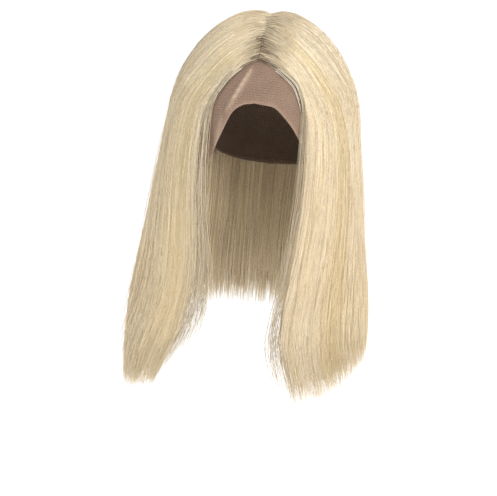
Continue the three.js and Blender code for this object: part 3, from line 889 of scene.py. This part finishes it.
    wavered_small = add_node(tree, "ShaderNodeVectorMath", {"operation": "SCALE"}, Scale=waver_size)
    tree.links.new(wavered.outputs[0], wavered_small.inputs[0])
    moved = add_node(tree, "ShaderNodeVectorMath", {"operation": "ADD"})
    tree.links.new(raised.outputs[0], moved.inputs[0])
    tree.links.new(wavered_small.outputs[0], moved.inputs[1])

    laid = add_node(
        tree,
        "GeometryNodeSetPosition",
        Geometry=out(copies, "Geometry"),
        Position=out(between_skins),
        Offset=moved.outputs[0],
    )
    geometry = out(laid)
    for name, value in (("strand", chance(8)), ("along", along), ("across", across), ("lock", out(lock_tone, "Y"))):
        stored = add_node(
            tree,
            "GeometryNodeStoreNamedAttribute",
            {"data_type": "FLOAT", "domain": "POINT"},
            Geometry=geometry,
            Name=name,
            Value=value,
        )
        geometry = out(stored)
    taper = add_node(tree, "ShaderNodeMapRange", Value=run, From_Min=0.9, From_Max=1.0, To_Min=1.0, To_Max=0.3)
    knot = add_node(
        tree, "ShaderNodeMapRange", Value=run, From_Min=0.0, From_Max=0.05, To_Min=given["Knot"], To_Max=1.0
    )
    half_width = calc(tree, "MULTIPLY", calc(tree, "MULTIPLY", given["Width"], 0.5), chance(9, 0.7, 1.3))
    half_width = calc(tree, "MULTIPLY", half_width, out(knot))
    profile = add_node(tree, "GeometryNodeCurvePrimitiveCircle", {"mode": "RADIUS"}, Resolution=3, Radius=1.0)
    tubes = add_node(
        tree,
        "GeometryNodeCurveToMesh",
        Curve=geometry,
        Profile_Curve=out(profile),
        Scale=calc(tree, "MULTIPLY", half_width, out(taper)),
        Fill_Caps=True,
    )
    smooth_tubes = add_node(tree, "GeometryNodeSetShadeSmooth", Geometry=out(tubes), Shade_Smooth=True)
    real = add_node(tree, "GeometryNodeRealizeInstances", Geometry=out(smooth_tubes))
    finished = add_node(tree, "GeometryNodeSetMaterial", Geometry=out(real), Material=given["Hair"])
    made = tree.nodes.new("NodeGroupOutput")
    tree.links.new(out(finished), made.inputs[0])
    return tree


hair_strands = strand_tree()


def lay_strands(name, form, material, **sizes):
    """Strands on a form as one plain mesh, which rides on the wig."""
    modifier = form.modifiers.new("strands", "NODES")
    modifier.node_group = hair_strands
    for item in hair_strands.interface.items_tree:
        key = item.name.lower().replace(" ", "_")
        if item.in_out == "INPUT" and key in sizes:
            modifier[item.identifier] = sizes[key]
        if item.in_out == "INPUT" and key == "hair":
            modifier[item.identifier] = material
    evaluated = form.evaluated_get(bpy.context.evaluated_depsgraph_get())
    mesh = bpy.data.meshes.new_from_object(evaluated)
    form.modifiers.remove(modifier)
    mesh.name = name
    piece = bpy.data.objects.new(name, mesh)
    bpy.context.collection.objects.link(piece)
    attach(piece, "root")
    return piece


# Hair colour
# Pale blonde: a cream base with golden and ash strands and broader golden streaks. Roots are darker where they
# leave the net, for the knots there and as painted shade. Painted shade also darkens strands towards the face
# edge, and near the crown painted highlight and shade fall between clumps, with glints along each strand.
# One group mixes it for every hair material.
CREAM = (0.92, 0.77, 0.54, 1)
PALE = (0.95, 0.87, 0.71, 1)
GOLD = (0.87, 0.7, 0.41, 1)
ASH = (0.58, 0.49, 0.35, 1)
# Dark brown of the knots, also used as painted shade at the roots, by the parting and along the face edge.
KNOT_AND_SHADE_BROWN = (0.15, 0.095, 0.05, 1)


def colour_group():
    tree = bpy.data.node_groups.new("blonde", "ShaderNodeTree")
    surface = ("Strand", "Along", "Across")
    for name in (*surface, "Streaks", "Gold Middle", "Gold Width", "Root", "Edge", "Pale", "Brown"):
        tree.interface.new_socket(name, in_out="INPUT", socket_type="NodeSocketFloat")
    tree.interface.new_socket("Color", in_out="OUTPUT", socket_type="NodeSocketColor")
    given = tree.nodes.new("NodeGroupInput").outputs
    streak_place = add_node(
        tree,
        "ShaderNodeCombineXYZ",
        X=calc(tree, "MULTIPLY", given["Across"], given["Streaks"]),
        Y=calc(tree, "MULTIPLY", given["Along"], 0.8),
    )
    streak = add_node(tree, "ShaderNodeTexNoise", Vector=out(streak_place), Scale=1.0, Detail=2.0)
    golden = add_node(tree, "ShaderNodeMapRange", Value=out(streak, "Fac"), From_Min=0.42, From_Max=0.7)
    strand_gold = calc(tree, "MULTIPLY", calc(tree, "POWER", given["Strand"], 3.0), 0.24)
    from_streak = calc(tree, "ABSOLUTE", calc(tree, "SUBTRACT", given["Across"], given["Gold Middle"]))
    wide_streak = add_node(
        tree,
        "ShaderNodeMapRange",
        {"interpolation_type": "SMOOTHSTEP"},
        Value=from_streak,
        From_Min=given["Gold Width"],
        From_Max=0.0,
        To_Max=0.75,
    )
    gold_share = calc(tree, "MULTIPLY_ADD", out(golden), 0.4, calc(tree, "ADD", strand_gold, out(wide_streak)))
    warm = add_node(
        tree, "ShaderNodeMix", {"data_type": "RGBA"}, Factor=calc(tree, "MINIMUM", gold_share, 1.0), A=CREAM, B=GOLD
    )
    flicker = calc(tree, "FRACT", calc(tree, "MULTIPLY", given["Strand"], 17.3))
    ash_and_edge_shade = calc(tree, "MULTIPLY", calc(tree, "POWER", flicker, 3.0), 0.4)
    # Painted shade: strands towards the face edge are mixed towards ash, on top of the ash strands that come at
    # random.
    face_edge_shade = add_node(
        tree,
        "ShaderNodeMapRange",
        {"interpolation_type": "SMOOTHSTEP"},
        Value=given["Across"],
        From_Min=given["Edge"],
        From_Max=0.0,
    )
    ash_and_edge_shade = calc(tree, "MAXIMUM", ash_and_edge_shade, calc(tree, "MULTIPLY", out(face_edge_shade), 0.4))
    cooled = add_node(tree, "ShaderNodeMix", {"data_type": "RGBA"}, Factor=ash_and_edge_shade, A=out(warm), B=ASH)
    # Some strands are paler at random; the Pale input adds paleness that stands for painted light.
    glint = calc(tree, "FRACT", calc(tree, "MULTIPLY", given["Strand"], 41.9))
    pale_share = calc(tree, "MULTIPLY_ADD", calc(tree, "POWER", glint, 5.0), 0.6, given["Pale"])
    pale_share = calc(tree, "MINIMUM", pale_share, 1.0)
    paled = add_node(tree, "ShaderNodeMix", {"data_type": "RGBA"}, Factor=pale_share, A=out(cooled), B=PALE)
    # Roots darken where they leave the net, for the knots there and as painted shade. The Brown input darkens whole
    # strands the same way.
    root = add_node(
        tree,
        "ShaderNodeMapRange",
        {"interpolation_type": "SMOOTHSTEP"},
        Value=given["Along"],
        From_Min=given["Root"],
        From_Max=0.0,
    )
    knot_and_shade_share = calc(tree, "MULTIPLY", out(root), calc(tree, "MULTIPLY", calc(tree, "POWER", flicker, 0.6), 0.75))
    knot_and_shade_share = calc(tree, "MAXIMUM", knot_and_shade_share, given["Brown"])
    knot_and_shade_mixed = add_node(tree, "ShaderNodeMix", {"data_type": "RGBA"}, Factor=knot_and_shade_share, A=out(paled), B=KNOT_AND_SHADE_BROWN)
    # Sparkle paints glints and small flecks of shade along each strand, strongest near the crown.
    sparkle_place = add_node(
        tree,
        "ShaderNodeCombineXYZ",
        X=calc(tree, "MULTIPLY", given["Strand"], 500.0),
        Y=calc(tree, "MULTIPLY", given["Along"], 170.0),
    )
    sparkle = add_node(tree, "ShaderNodeTexNoise", Vector=out(sparkle_place), Scale=1.0, Detail=1.0)
    crown = add_node(
        tree, "ShaderNodeMapRange", Value=given["Along"], From_Min=0.1, From_Max=0.4, To_Min=1.1, To_Max=0.8
    )
    sparkling = calc(tree, "MULTIPLY_ADD", calc(tree, "SUBTRACT", out(sparkle, "Fac"), 0.5), out(crown), 1.0)
    # Painted shade between clumps of strands and painted highlight on them, strong at the crown and fading down the
    # strands.
    clump_place = add_node(
        tree,
        "ShaderNodeCombineXYZ",
        X=calc(tree, "MULTIPLY", given["Across"], 68.0),
        Y=calc(tree, "MULTIPLY", given["Along"], 4.0),
        Z=3.0,
    )
    clump = add_node(tree, "ShaderNodeTexNoise", Vector=out(clump_place), Scale=1.0, Detail=1.0)
    clump_light_depth = add_node(
        tree, "ShaderNodeMapRange", Value=given["Along"], From_Min=0.1, From_Max=0.45, To_Min=1.35, To_Max=0.08
    )
    clump_light_and_shade = calc(tree, "MULTIPLY_ADD", calc(tree, "SUBTRACT", out(clump, "Fac"), 0.52), out(clump_light_depth), 1.0)
    brightness = calc(tree, "MULTIPLY", sparkling, clump_light_and_shade)
    sparkled = add_node(tree, "ShaderNodeVectorMath", {"operation": "SCALE"}, Scale=brightness)
    tree.links.new(out(knot_and_shade_mixed), sparkled.inputs[0])
    made = tree.nodes.new("NodeGroupOutput")
    tree.links.new(sparkled.outputs[0], made.inputs["Color"])
    return tree


blonde = colour_group()


def hair_material(
    name, streaks, roughness, gold=(0.5, 0.001), root=0.001, edge=0.001, pale=0.0, brown=0.0, packed=0.0
):
    """Hair in separate strands, or with `packed` strands across a solid body of hair."""
    material = bpy.data.materials.new(name)
    material.use_nodes = True
    tree = material.node_tree
    shader = tree.nodes["Principled BSDF"]
    tint = tree.nodes.new("ShaderNodeGroup")
    tint.node_tree = blonde
    for place_name in ("Strand", "Along", "Across"):
        value = add_node(tree, "ShaderNodeAttribute", {"attribute_name": place_name.lower()})
        tree.links.new(value.outputs["Fac"], tint.inputs[place_name])
    if packed:
        place = add_node(
            tree,
            "ShaderNodeCombineXYZ",
            X=calc(tree, "MULTIPLY", tint.inputs["Across"].links[0].from_socket, packed),
            Y=calc(tree, "MULTIPLY", tint.inputs["Along"].links[0].from_socket, 2.0),
        )
        grain = add_node(tree, "ShaderNodeTexNoise", Vector=out(place), Scale=1.0, Detail=2.0)
        spread = add_node(tree, "ShaderNodeMapRange", Value=out(grain, "Fac"), From_Min=0.3, From_Max=0.7)
        tree.links.new(out(spread), tint.inputs["Strand"])
        relief = add_node(tree, "ShaderNodeBump", Height=out(spread), Strength=0.6, Distance=0.0006)
        tree.links.new(out(relief), shader.inputs["Normal"])
    tint.inputs["Streaks"].default_value = streaks
    tint.inputs["Gold Middle"].default_value = gold[0]
    tint.inputs["Gold Width"].default_value = gold[1]
    tint.inputs["Pale"].default_value = pale
    tint.inputs["Brown"].default_value = brown
    tint.inputs["Root"].default_value = root
    tint.inputs["Edge"].default_value = edge
    tree.links.new(tint.outputs["Color"], shader.inputs["Base Color"])
    shader.inputs["Roughness"].default_value = roughness
    shader.inputs["IOR"].default_value = 1.55
    return material


# Hair mass
# Under the strands that show lies the body of the hair: closely packed locks that fill the curtain from its
# outer to its inner side and thin out to an uneven edge a little short of the tips.
MASS_ROWS = 27
MASS_START = 0.05
MASS_LOCK = 7
MASS_TIP = 1.88
MASS_TIP_SPREAD = 0.08


def uneven(count, width, seed):
    """Random numbers from 0 to 1 along a row, smoothed over a width of neighbours."""
    random = np.random.default_rng(seed).random(count + 2 * width)
    kernel = np.hanning(width * 2 + 1)
    values = np.convolve(random, kernel / kernel.sum(), mode="same")[width : width + count]
    return (values - values.min()) / (values.max() - values.min())


def hair_mass(name, columns, material, seed):
    side = np.concatenate([np.full(len(ways), side) for side, ways in columns])
    ways = np.concatenate([ways for _, ways in columns])
    count = len(ways)
    lock = uneven(count, MASS_LOCK, seed)
    fine = uneven(count, 1, seed + 1)
    run = np.linspace(0, 1, MASS_ROWS)[:, None]
    tip = MASS_TIP - MASS_TIP_SPREAD * uneven(count, MASS_LOCK // 2, seed + 2)
    along = MASS_START + run**1.4 * (tip - MASS_START)
    pinch = np.clip((run - 0.86) / 0.14, 0, 1) ** 1.5
    settled = np.clip(along * 1.5, 0.15, 1)
    outer_share = 0.93 - settled * (0.12 * lock + 0.05 * fine) - 0.33 * pinch
    inner_share = 0.06 + settled * (0.1 * lock[::-1] + 0.04 * fine[::-1]) + 0.3 * pinch
    layers = []
    for share in (outer_share, inner_share):
        points = np.empty((MASS_ROWS, count, 3))
        for one in (RIGHT, LEFT):
            here = side == one
            if here.any():
                points[:, here] = falling_points(one, ways[None, here], along[:, here], share[:, here])
        layers.append(points)
    mass = grid_object(name, layers)
    across = np.broadcast_to(np.linspace(0, 1, count), along.shape)
    point_values(mass, "across", np.concatenate([across.ravel()] * 2))
    point_values(mass, "along", np.concatenate([along.ravel() / 2] * 2))
    point_values(mass, "strand", np.concatenate([np.broadcast_to(fine, along.shape).ravel()] * 2))
    mass.data.materials.append(material)
    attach(mass, "root")
    return mass


# Back hair
# The hair behind the ears hangs from the back of the parting and the crown in one wide section.
BACK_COLUMNS = 150
BACK_ENDS_COUNT = 1100
HAIR_ENDS = {
    "points": 5,
    "width": 0.0005,
    "root": 0.72,
    "root_spread": 0.1,
    "tip_spread": 0.075,
    "spacing": 1.0,
    "depth_to": 1.0,
    "locks": 33.0,
    "gather": 0.1,
    "lock_depth": 0.0,
    "drift": 0.012,
    "waver": 0.0025,
}
# Back hair roots are darkened at the net, for the knots and as painted shade.
back_hair = hair_material("back_hair", 14.0, 0.52, root=0.03)
back_body = hair_material("back_body", 14.0, 0.65, packed=420.0)
back_ways = np.linspace(SIDE_SPLIT, 1, FORM_COLUMNS_PER_SIDE)
mass_ways = np.linspace(SIDE_SPLIT, 1, BACK_COLUMNS)
back_mass = hair_mass("hair_back_mass", [(LEFT, mass_ways), (RIGHT, mass_ways[::-1][1:])], back_body, 3)
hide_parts("hair_back")
back_form = hair_form("form_back", [(LEFT, back_ways), (RIGHT, back_ways[::-1][1:])])
BACK_SURFACE = {
    "strands": 1350,
    "points": 14,
    "width": 0.0006,
    "tip_spread": 0.065,
    "depth_to": 0.14,
    "locks": 40.0,
    "gather": 0.14,
    "lock_depth": 0.08,
    "drift": 0.008,
    "waver": 0.002,
    "root_spread": 0.008,
}
BACK_INSIDE = {
    "strands": 500,
    "points": 11,
    "spacing": 1.0,
    "width": 0.0008,
    "root": 0.3,
    "root_spread": 0.05,
    "tip_spread": 0.08,
    "depth_from": 1.0,
    "depth_to": 0.86,
    "locks": 40.0,
    "gather": 0.1,
    "lock_depth": 0.0,
    "drift": 0.008,
    "waver": 0.002,
}
for half in range(2):
    strands = lay_strands(
        f"hair_back_strands_{half + 1}",
        back_form,
        back_hair,
        seed=31 + half,
        across_from=half / 2,
        across_to=(half + 1) / 2,
        **BACK_SURFACE,
    )
    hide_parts("hair_back")
inside_hair = lay_strands("hair_back_inside", back_form, back_hair, seed=37, **BACK_INSIDE)
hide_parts("hair_back")
ends = lay_strands("hair_back_ends", back_form, back_hair, strands=BACK_ENDS_COUNT, seed=38, **HAIR_ENDS)
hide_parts("hair_back")
bpy.data.objects.remove(back_form)


# Front hair
# The two front sections fall from the parting past the temples. The edge beside the face is thin and loose,
# with short ends that stray from it.
FRONT_COLUMNS = 150
MASS_EDGE = {RIGHT: 0.066, LEFT: 0.044}
FRONT_SURFACE = {
    "strands": 2500,
    "points": 13,
    "spacing": 1.3,
    "width": 0.00042,
    "tip_spread": 0.085,
    "depth_from": 0.03,
    "depth_to": 0.2,
    "locks": 33.0,
    "gather": 0.1,
    "lock_depth": 0.05,
    "drift": 0.01,
    "waver": 0.0015,
    "root_spread": 0.01,
}
HAIRLINE_COVER = {
    "points": 12,
    "width": 0.0004,
    "across_from": 0.02,
    "across_to": 0.11,
    "depth_to": 0.7,
    "locks": 60.0,
    "gather": 0.1,
    "lock_depth": 0.0,
    "drift": 0.01,
    "waver": 0.002,
}
COVER_FALL = {
    RIGHT: {"strands": 190, "slant": 0.2, "tip": 0.88, "tip_spread": 0.3},
    LEFT: {"strands": 190, "slant": 0.1, "tip": 0.92, "tip_spread": 0.26},
}
FACE_EDGE = {
    "strands": 40,
    "points": 14,
    "width": 0.0004,
    "across_to": 0.17,
    "root_spread": 0.05,
    "tip_spread": 0.22,
    "depth_to": 1.0,
    "locks": 40.0,
    "gather": 0.4,
    "lock_depth": 0.0,
    "drift": 0.03,
    "waver": 0.004,
}
THIN_EDGE = {RIGHT: 0.13, LEFT: 0.07}
WISPS = {
    "strands": 16,
    "points": 13,
    "width": 0.00034,
    "root_spread": 0.15,
    "tip_spread": 0.25,
    "depth_to": 1.0,
    "locks": 12.0,
    "gather": 0.3,
    "lock_depth": 0.0,
    "drift": 0.15,
    "waver": 0.008,
}
SPLAYED_TIPS = {
    "strands": 110,
    "across_from": 0.3,
    "points": 10,
    "width": 0.00034,
    "root": 0.62,
    "root_spread": 0.16,
    "tip_spread": 0.1,
    "slant": -0.34,
    "spacing": 1.0,
    "depth_to": 1.0,
    "locks": 12.0,
    "gather": 0.0,
    "lock_depth": 0.0,
    "drift": 0.15,
    "waver": 0.006,
}
STRAY = {
    "strands": 70,
    "points": 13,
    "width": 0.00032,
    "root_spread": 0.4,
    "tip_spread": 0.2,
    "drift": 0.12,
    "waver": 0.012,
    "lift": 0.01,
}
SHOULDER_HAIRS = {
    "points": 9,
    "width": 0.0003,
    "across_from": 0.55,
    "across_to": 0.85,
    "root": 0.62,
    "root_spread": 0.1,
    "tip_spread": 0.14,
    "spacing": 1.0,
    "drift": 0.05,
    "waver": 0.006,
    "lift": 0.016,
}
PARTING_HAIRS = {
    "points": 9,
    "width": 0.00045,
    "root_spread": 0.16,
    "tip_spread": 0.55,
    "depth_to": 0.5,
    "locks": 60.0,
    "gather": 0.0,
    "lock_depth": 0.0,
    "drift": 0.02,
    "waver": 0.001,
    "spacing": 1.2,
    "arch": 0.0011,
}
PARTING_KNOTS = {
    "strands": 9,
    "across_to": 0.24,
    "points": 7,
    "width": 0.0008,
    "root_spread": 0.03,
    "tip": 0.26,
    "tip_spread": 0.14,
    "depth_to": 0.0,
    "gather": 0.0,
    "lock_depth": 0.0,
    "drift": 0.03,
    "waver": 0.001,
    "spacing": 1.0,
    "arch": 0.002,
}
SHADED_HAIRS = {
    "points": 9,
    "width": 0.0007,
    "root_spread": 0.06,
    "tip": 0.95,
    "tip_spread": 0.5,
    "depth_to": 0.2,
    "gather": 0.0,
    "lock_depth": 0.0,
    "drift": 0.03,
    "waver": 0.001,
    "spacing": 1.0,
    "arch": 0.0012,
}
FRONT_ENDS_COUNT = 650
PARTING_COUNT = 330
ROOTS_COUNT = 220
SHADED_COUNT = {RIGHT: 10, LEFT: 22}
SHOULDER_COUNT = {RIGHT: 26, LEFT: 8}
FRONT_OF_PARTING = 0.34
PARTING_OVERLAP = 0.12
GOLD_STREAK = {RIGHT: (0.3, 0.28), LEFT: (0.5, 0.16)}
front_ways = np.linspace(0, SIDE_SPLIT, FORM_COLUMNS_PER_SIDE)
wisp_ways = np.linspace(-0.012, 0.05, FORM_COLUMNS_PER_SIDE)
splay_ways = np.linspace(-0.03, 0.09, FORM_COLUMNS_PER_SIDE)
parting_ways = np.linspace(0, PART_SHARE, FORM_COLUMNS_PER_SIDE)
parting_hair = hair_material("parting_hair", 20.0, 0.4)
# Parting roots are darkened over much of their length, for the knots and painted shade at the front of the parting.
parting_roots = hair_material("parting_roots", 20.0, 0.4, root=0.6)
parting_knots = hair_material("parting_knots", 20.0, 0.5, brown=0.9)
shaded_hair = hair_material("shaded_hair", 20.0, 0.4, root=1.6, brown=0.35)
for side, seed in ((RIGHT, 11), (LEFT, 21)):
    name = side_name(side)
    node = f"hair_front_{name}"
    streak = GOLD_STREAK[side]
    # Front hair gets a little painted shade towards the face edge, and roots darkened at the net for the knots and
    # painted shade.
    front_hair = hair_material(f"front_hair_{name}", 7.0, 0.42, gold=streak, root=0.03, edge=0.2)
    front_body = hair_material(f"front_body_{name}", 7.0, 0.5, gold=streak, packed=220.0)
    # Hair beside the face is drawn darker, towards ash and brown, as painted shade; the splayed tips and wisps use
    # it too.
    shaded_edge_hair = hair_material(f"edge_hair_{name}", 9.0, 0.4, root=0.05, edge=1.4, brown=0.22)
    body_ways = np.linspace(MASS_EDGE[side], SIDE_SPLIT, FRONT_COLUMNS)
    mass = hair_mass(f"{node}_mass", [(side, body_ways[::side])], front_body, seed)
    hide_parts(node)
    form = hair_form(f"form_{name}", [(side, front_ways)])
    wisp_form = hair_form(f"form_wisps_{name}", [(side, wisp_ways)])
    splay_form = hair_form(f"form_splay_{name}", [(side, splay_ways)])
    parting_form = hair_form(f"form_parting_{name}", [(side, parting_ways)], start=-0.02, end=0.3)
    surface = {"across_from": THIN_EDGE[side], **FRONT_SURFACE}
    cover = {**COVER_FALL[side], **HAIRLINE_COVER}
    ends = {"strands": FRONT_ENDS_COUNT, "across_from": THIN_EDGE[side], **HAIR_ENDS}
    shoulder = {"strands": SHOULDER_COUNT[side], **SHOULDER_HAIRS}
    parting = {
        "strands": PARTING_COUNT,
        "across_from": FRONT_OF_PARTING - PARTING_OVERLAP,
        **PARTING_HAIRS,
    }
    roots = {
        "strands": ROOTS_COUNT,
        "across_to": FRONT_OF_PARTING + PARTING_OVERLAP,
        "knot": 1.5,
        **PARTING_HAIRS,
    }
    shaded = {"strands": SHADED_COUNT[side], "across_to": FRONT_OF_PARTING, **SHADED_HAIRS}
    pieces = [
        lay_strands(f"{node}_strands", form, front_hair, seed=seed + 1, **surface),
        lay_strands(f"{node}_cover", form, front_hair, seed=seed + 8, **cover),
        lay_strands(f"{node}_ends", form, front_hair, seed=seed + 10, **ends),
        lay_strands(f"{node}_edge", form, shaded_edge_hair, seed=seed + 2, **FACE_EDGE),
        lay_strands(f"{node}_splay", splay_form, shaded_edge_hair, seed=seed + 7, **SPLAYED_TIPS),
        lay_strands(f"{node}_wisps", wisp_form, shaded_edge_hair, seed=seed + 3, **WISPS),
        lay_strands(f"{node}_stray", form, front_hair, seed=seed + 4, **STRAY),
        lay_strands(f"{node}_shoulder", form, front_hair, seed=seed + 9, **shoulder),
        lay_strands(f"{node}_parting", parting_form, parting_hair, seed=seed + 5, **parting),
        lay_strands(f"{node}_roots", parting_form, parting_roots, seed=seed + 6, **roots),
        lay_strands(f"{node}_knots", parting_form, parting_knots, seed=seed + 10, **PARTING_KNOTS),
        lay_strands(f"{node}_shaded", parting_form, shaded_hair, seed=seed + 11, **shaded),
    ]
    for piece in pieces:
        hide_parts(node)
    for guide in (form, wisp_form, splay_form, parting_form):
        bpy.data.objects.remove(guide)


# Hairline
# Short fine hairs are knotted one by one into the lace along the hairline. They lean back over its edge into the
# front sections and stand a little proud of the lace.
STRIP_WIDTH = 0.007
STRIP_OVERLAP = 0.004
STRIP_RISE = 0.0022
STRIP_STATIONS = 60
STRIP_COLUMNS = 12
LONG_HAIRS = {
    "points": 14,
    "root_spread": 0.2,
    "tip_spread": 0.0,
    "knot": 1.4,
    "depth_from": 1.0,
    "depth_to": 0.1,
    "locks": 6.0,
    "gather": 0.15,
    "lock_depth": 0.0,
    "drift": 0.05,
    "waver": 0.002,
}
LONG_HAIRS_LAY = {
    RIGHT: {
        "strands": 6,
        "width": 0.0006,
        "across_from": 0.36,
        "across_to": 0.7,
        "tip": 0.8,
        "reach": 0.75,
        "slant": 0.15,
        "arch": 0.0008,
    },
    LEFT: {
        "strands": 4,
        "width": 0.0009,
        "across_from": 0.03,
        "across_to": 0.6,
        "reach": 0.95,
        "slant": 0.06,
        "arch": 0.0014,
    },
}
SHORT_ROOTS = {
    "points": 7,
    "width": 0.00042,
    "root_spread": 0.93,
    "tip_spread": 0.0,
    "reach": 0.11,
    "knot": 1.5,
    "depth_from": 1.0,
    "depth_to": 0.75,
    "gather": 0.0,
    "lock_depth": 0.0,
    "drift": 0.05,
    "waver": 0.002,
    "arch": 0.0008,
}
SHORT_ROOTS_LAY = {
    RIGHT: {"strands": 110, "across_from": 0.26, "across_to": 0.6, "slant": 0.3},
    LEFT: {"strands": 110, "across_from": 0.15, "across_to": 0.8, "slant": 0.3},
}
# The long hairline hairs are one hair on both sides: the wearer's left copy is drawn paler as painted light, and
# the wearer's right copy keeps the plain tone.
long_hair = {
    RIGHT: hair_material("hairline_warm", 5.0, 0.4, root=0.1, pale=0.1),
    LEFT: hair_material("hairline_pale", 5.0, 0.4, root=0.12, pale=0.8),
}
# Short roots are dark brown, for the knots in the lace and as painted shade along the hairline.
short_root = hair_material("hairline_roots", 5.0, 0.5, brown=0.9)


def hairline_form(name, side):
    """A guide skin over the lace beside the hairline, from the brow (0) to just under the hair (1) across."""
    along = np.linspace(0.0, 0.97, STRIP_STATIONS)
    line = hairline_direction(side, along)
    ahead = hairline_direction(side, along + 0.02) - hairline_direction(side, np.maximum(along - 0.02, 0))
    inward = unit(np.cross(line, ahead))
    inward = inward * np.where(inward[:, :1] * side > 0, -1, 1)
    taper = np.sin(np.linspace(0.2, 0.93, STRIP_STATIONS) * math.pi)[:, None]
    slide = np.linspace(1, 0, STRIP_COLUMNS)[None, :] * (STRIP_WIDTH * taper + STRIP_OVERLAP) - STRIP_OVERLAP
    place = unit(line[:, None] + inward[:, None] * (slide / HEAD_FRONT)[..., None])
    inner = from_centre(place, head_radius(place, CAP_WALL))
    outer = from_centre(place, head_radius(place, CAP_WALL) + STRIP_RISE * (0.3 + 0.7 * taper))
    return guide_skin(name, outer, inner, np.linspace(0, 1, STRIP_STATIONS)[:, None])


for side, seed in ((RIGHT, 51), (LEFT, 61)):
    name = side_name(side)
    form = hairline_form(f"form_hairline_{name}", side)
    long = lay_strands(
        f"hairline_{name}_long",
        form,
        long_hair[side],
        seed=seed,
        **LONG_HAIRS,
        **LONG_HAIRS_LAY[side],
    )
    short = lay_strands(
        f"hairline_{name}_short",
        form,
        short_root,
        seed=seed + 1,
        **SHORT_ROOTS,
        **SHORT_ROOTS_LAY[side],
    )
    for hairs in (long, short):
        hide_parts(f"hairline_{name}")
    bpy.data.objects.remove(form)
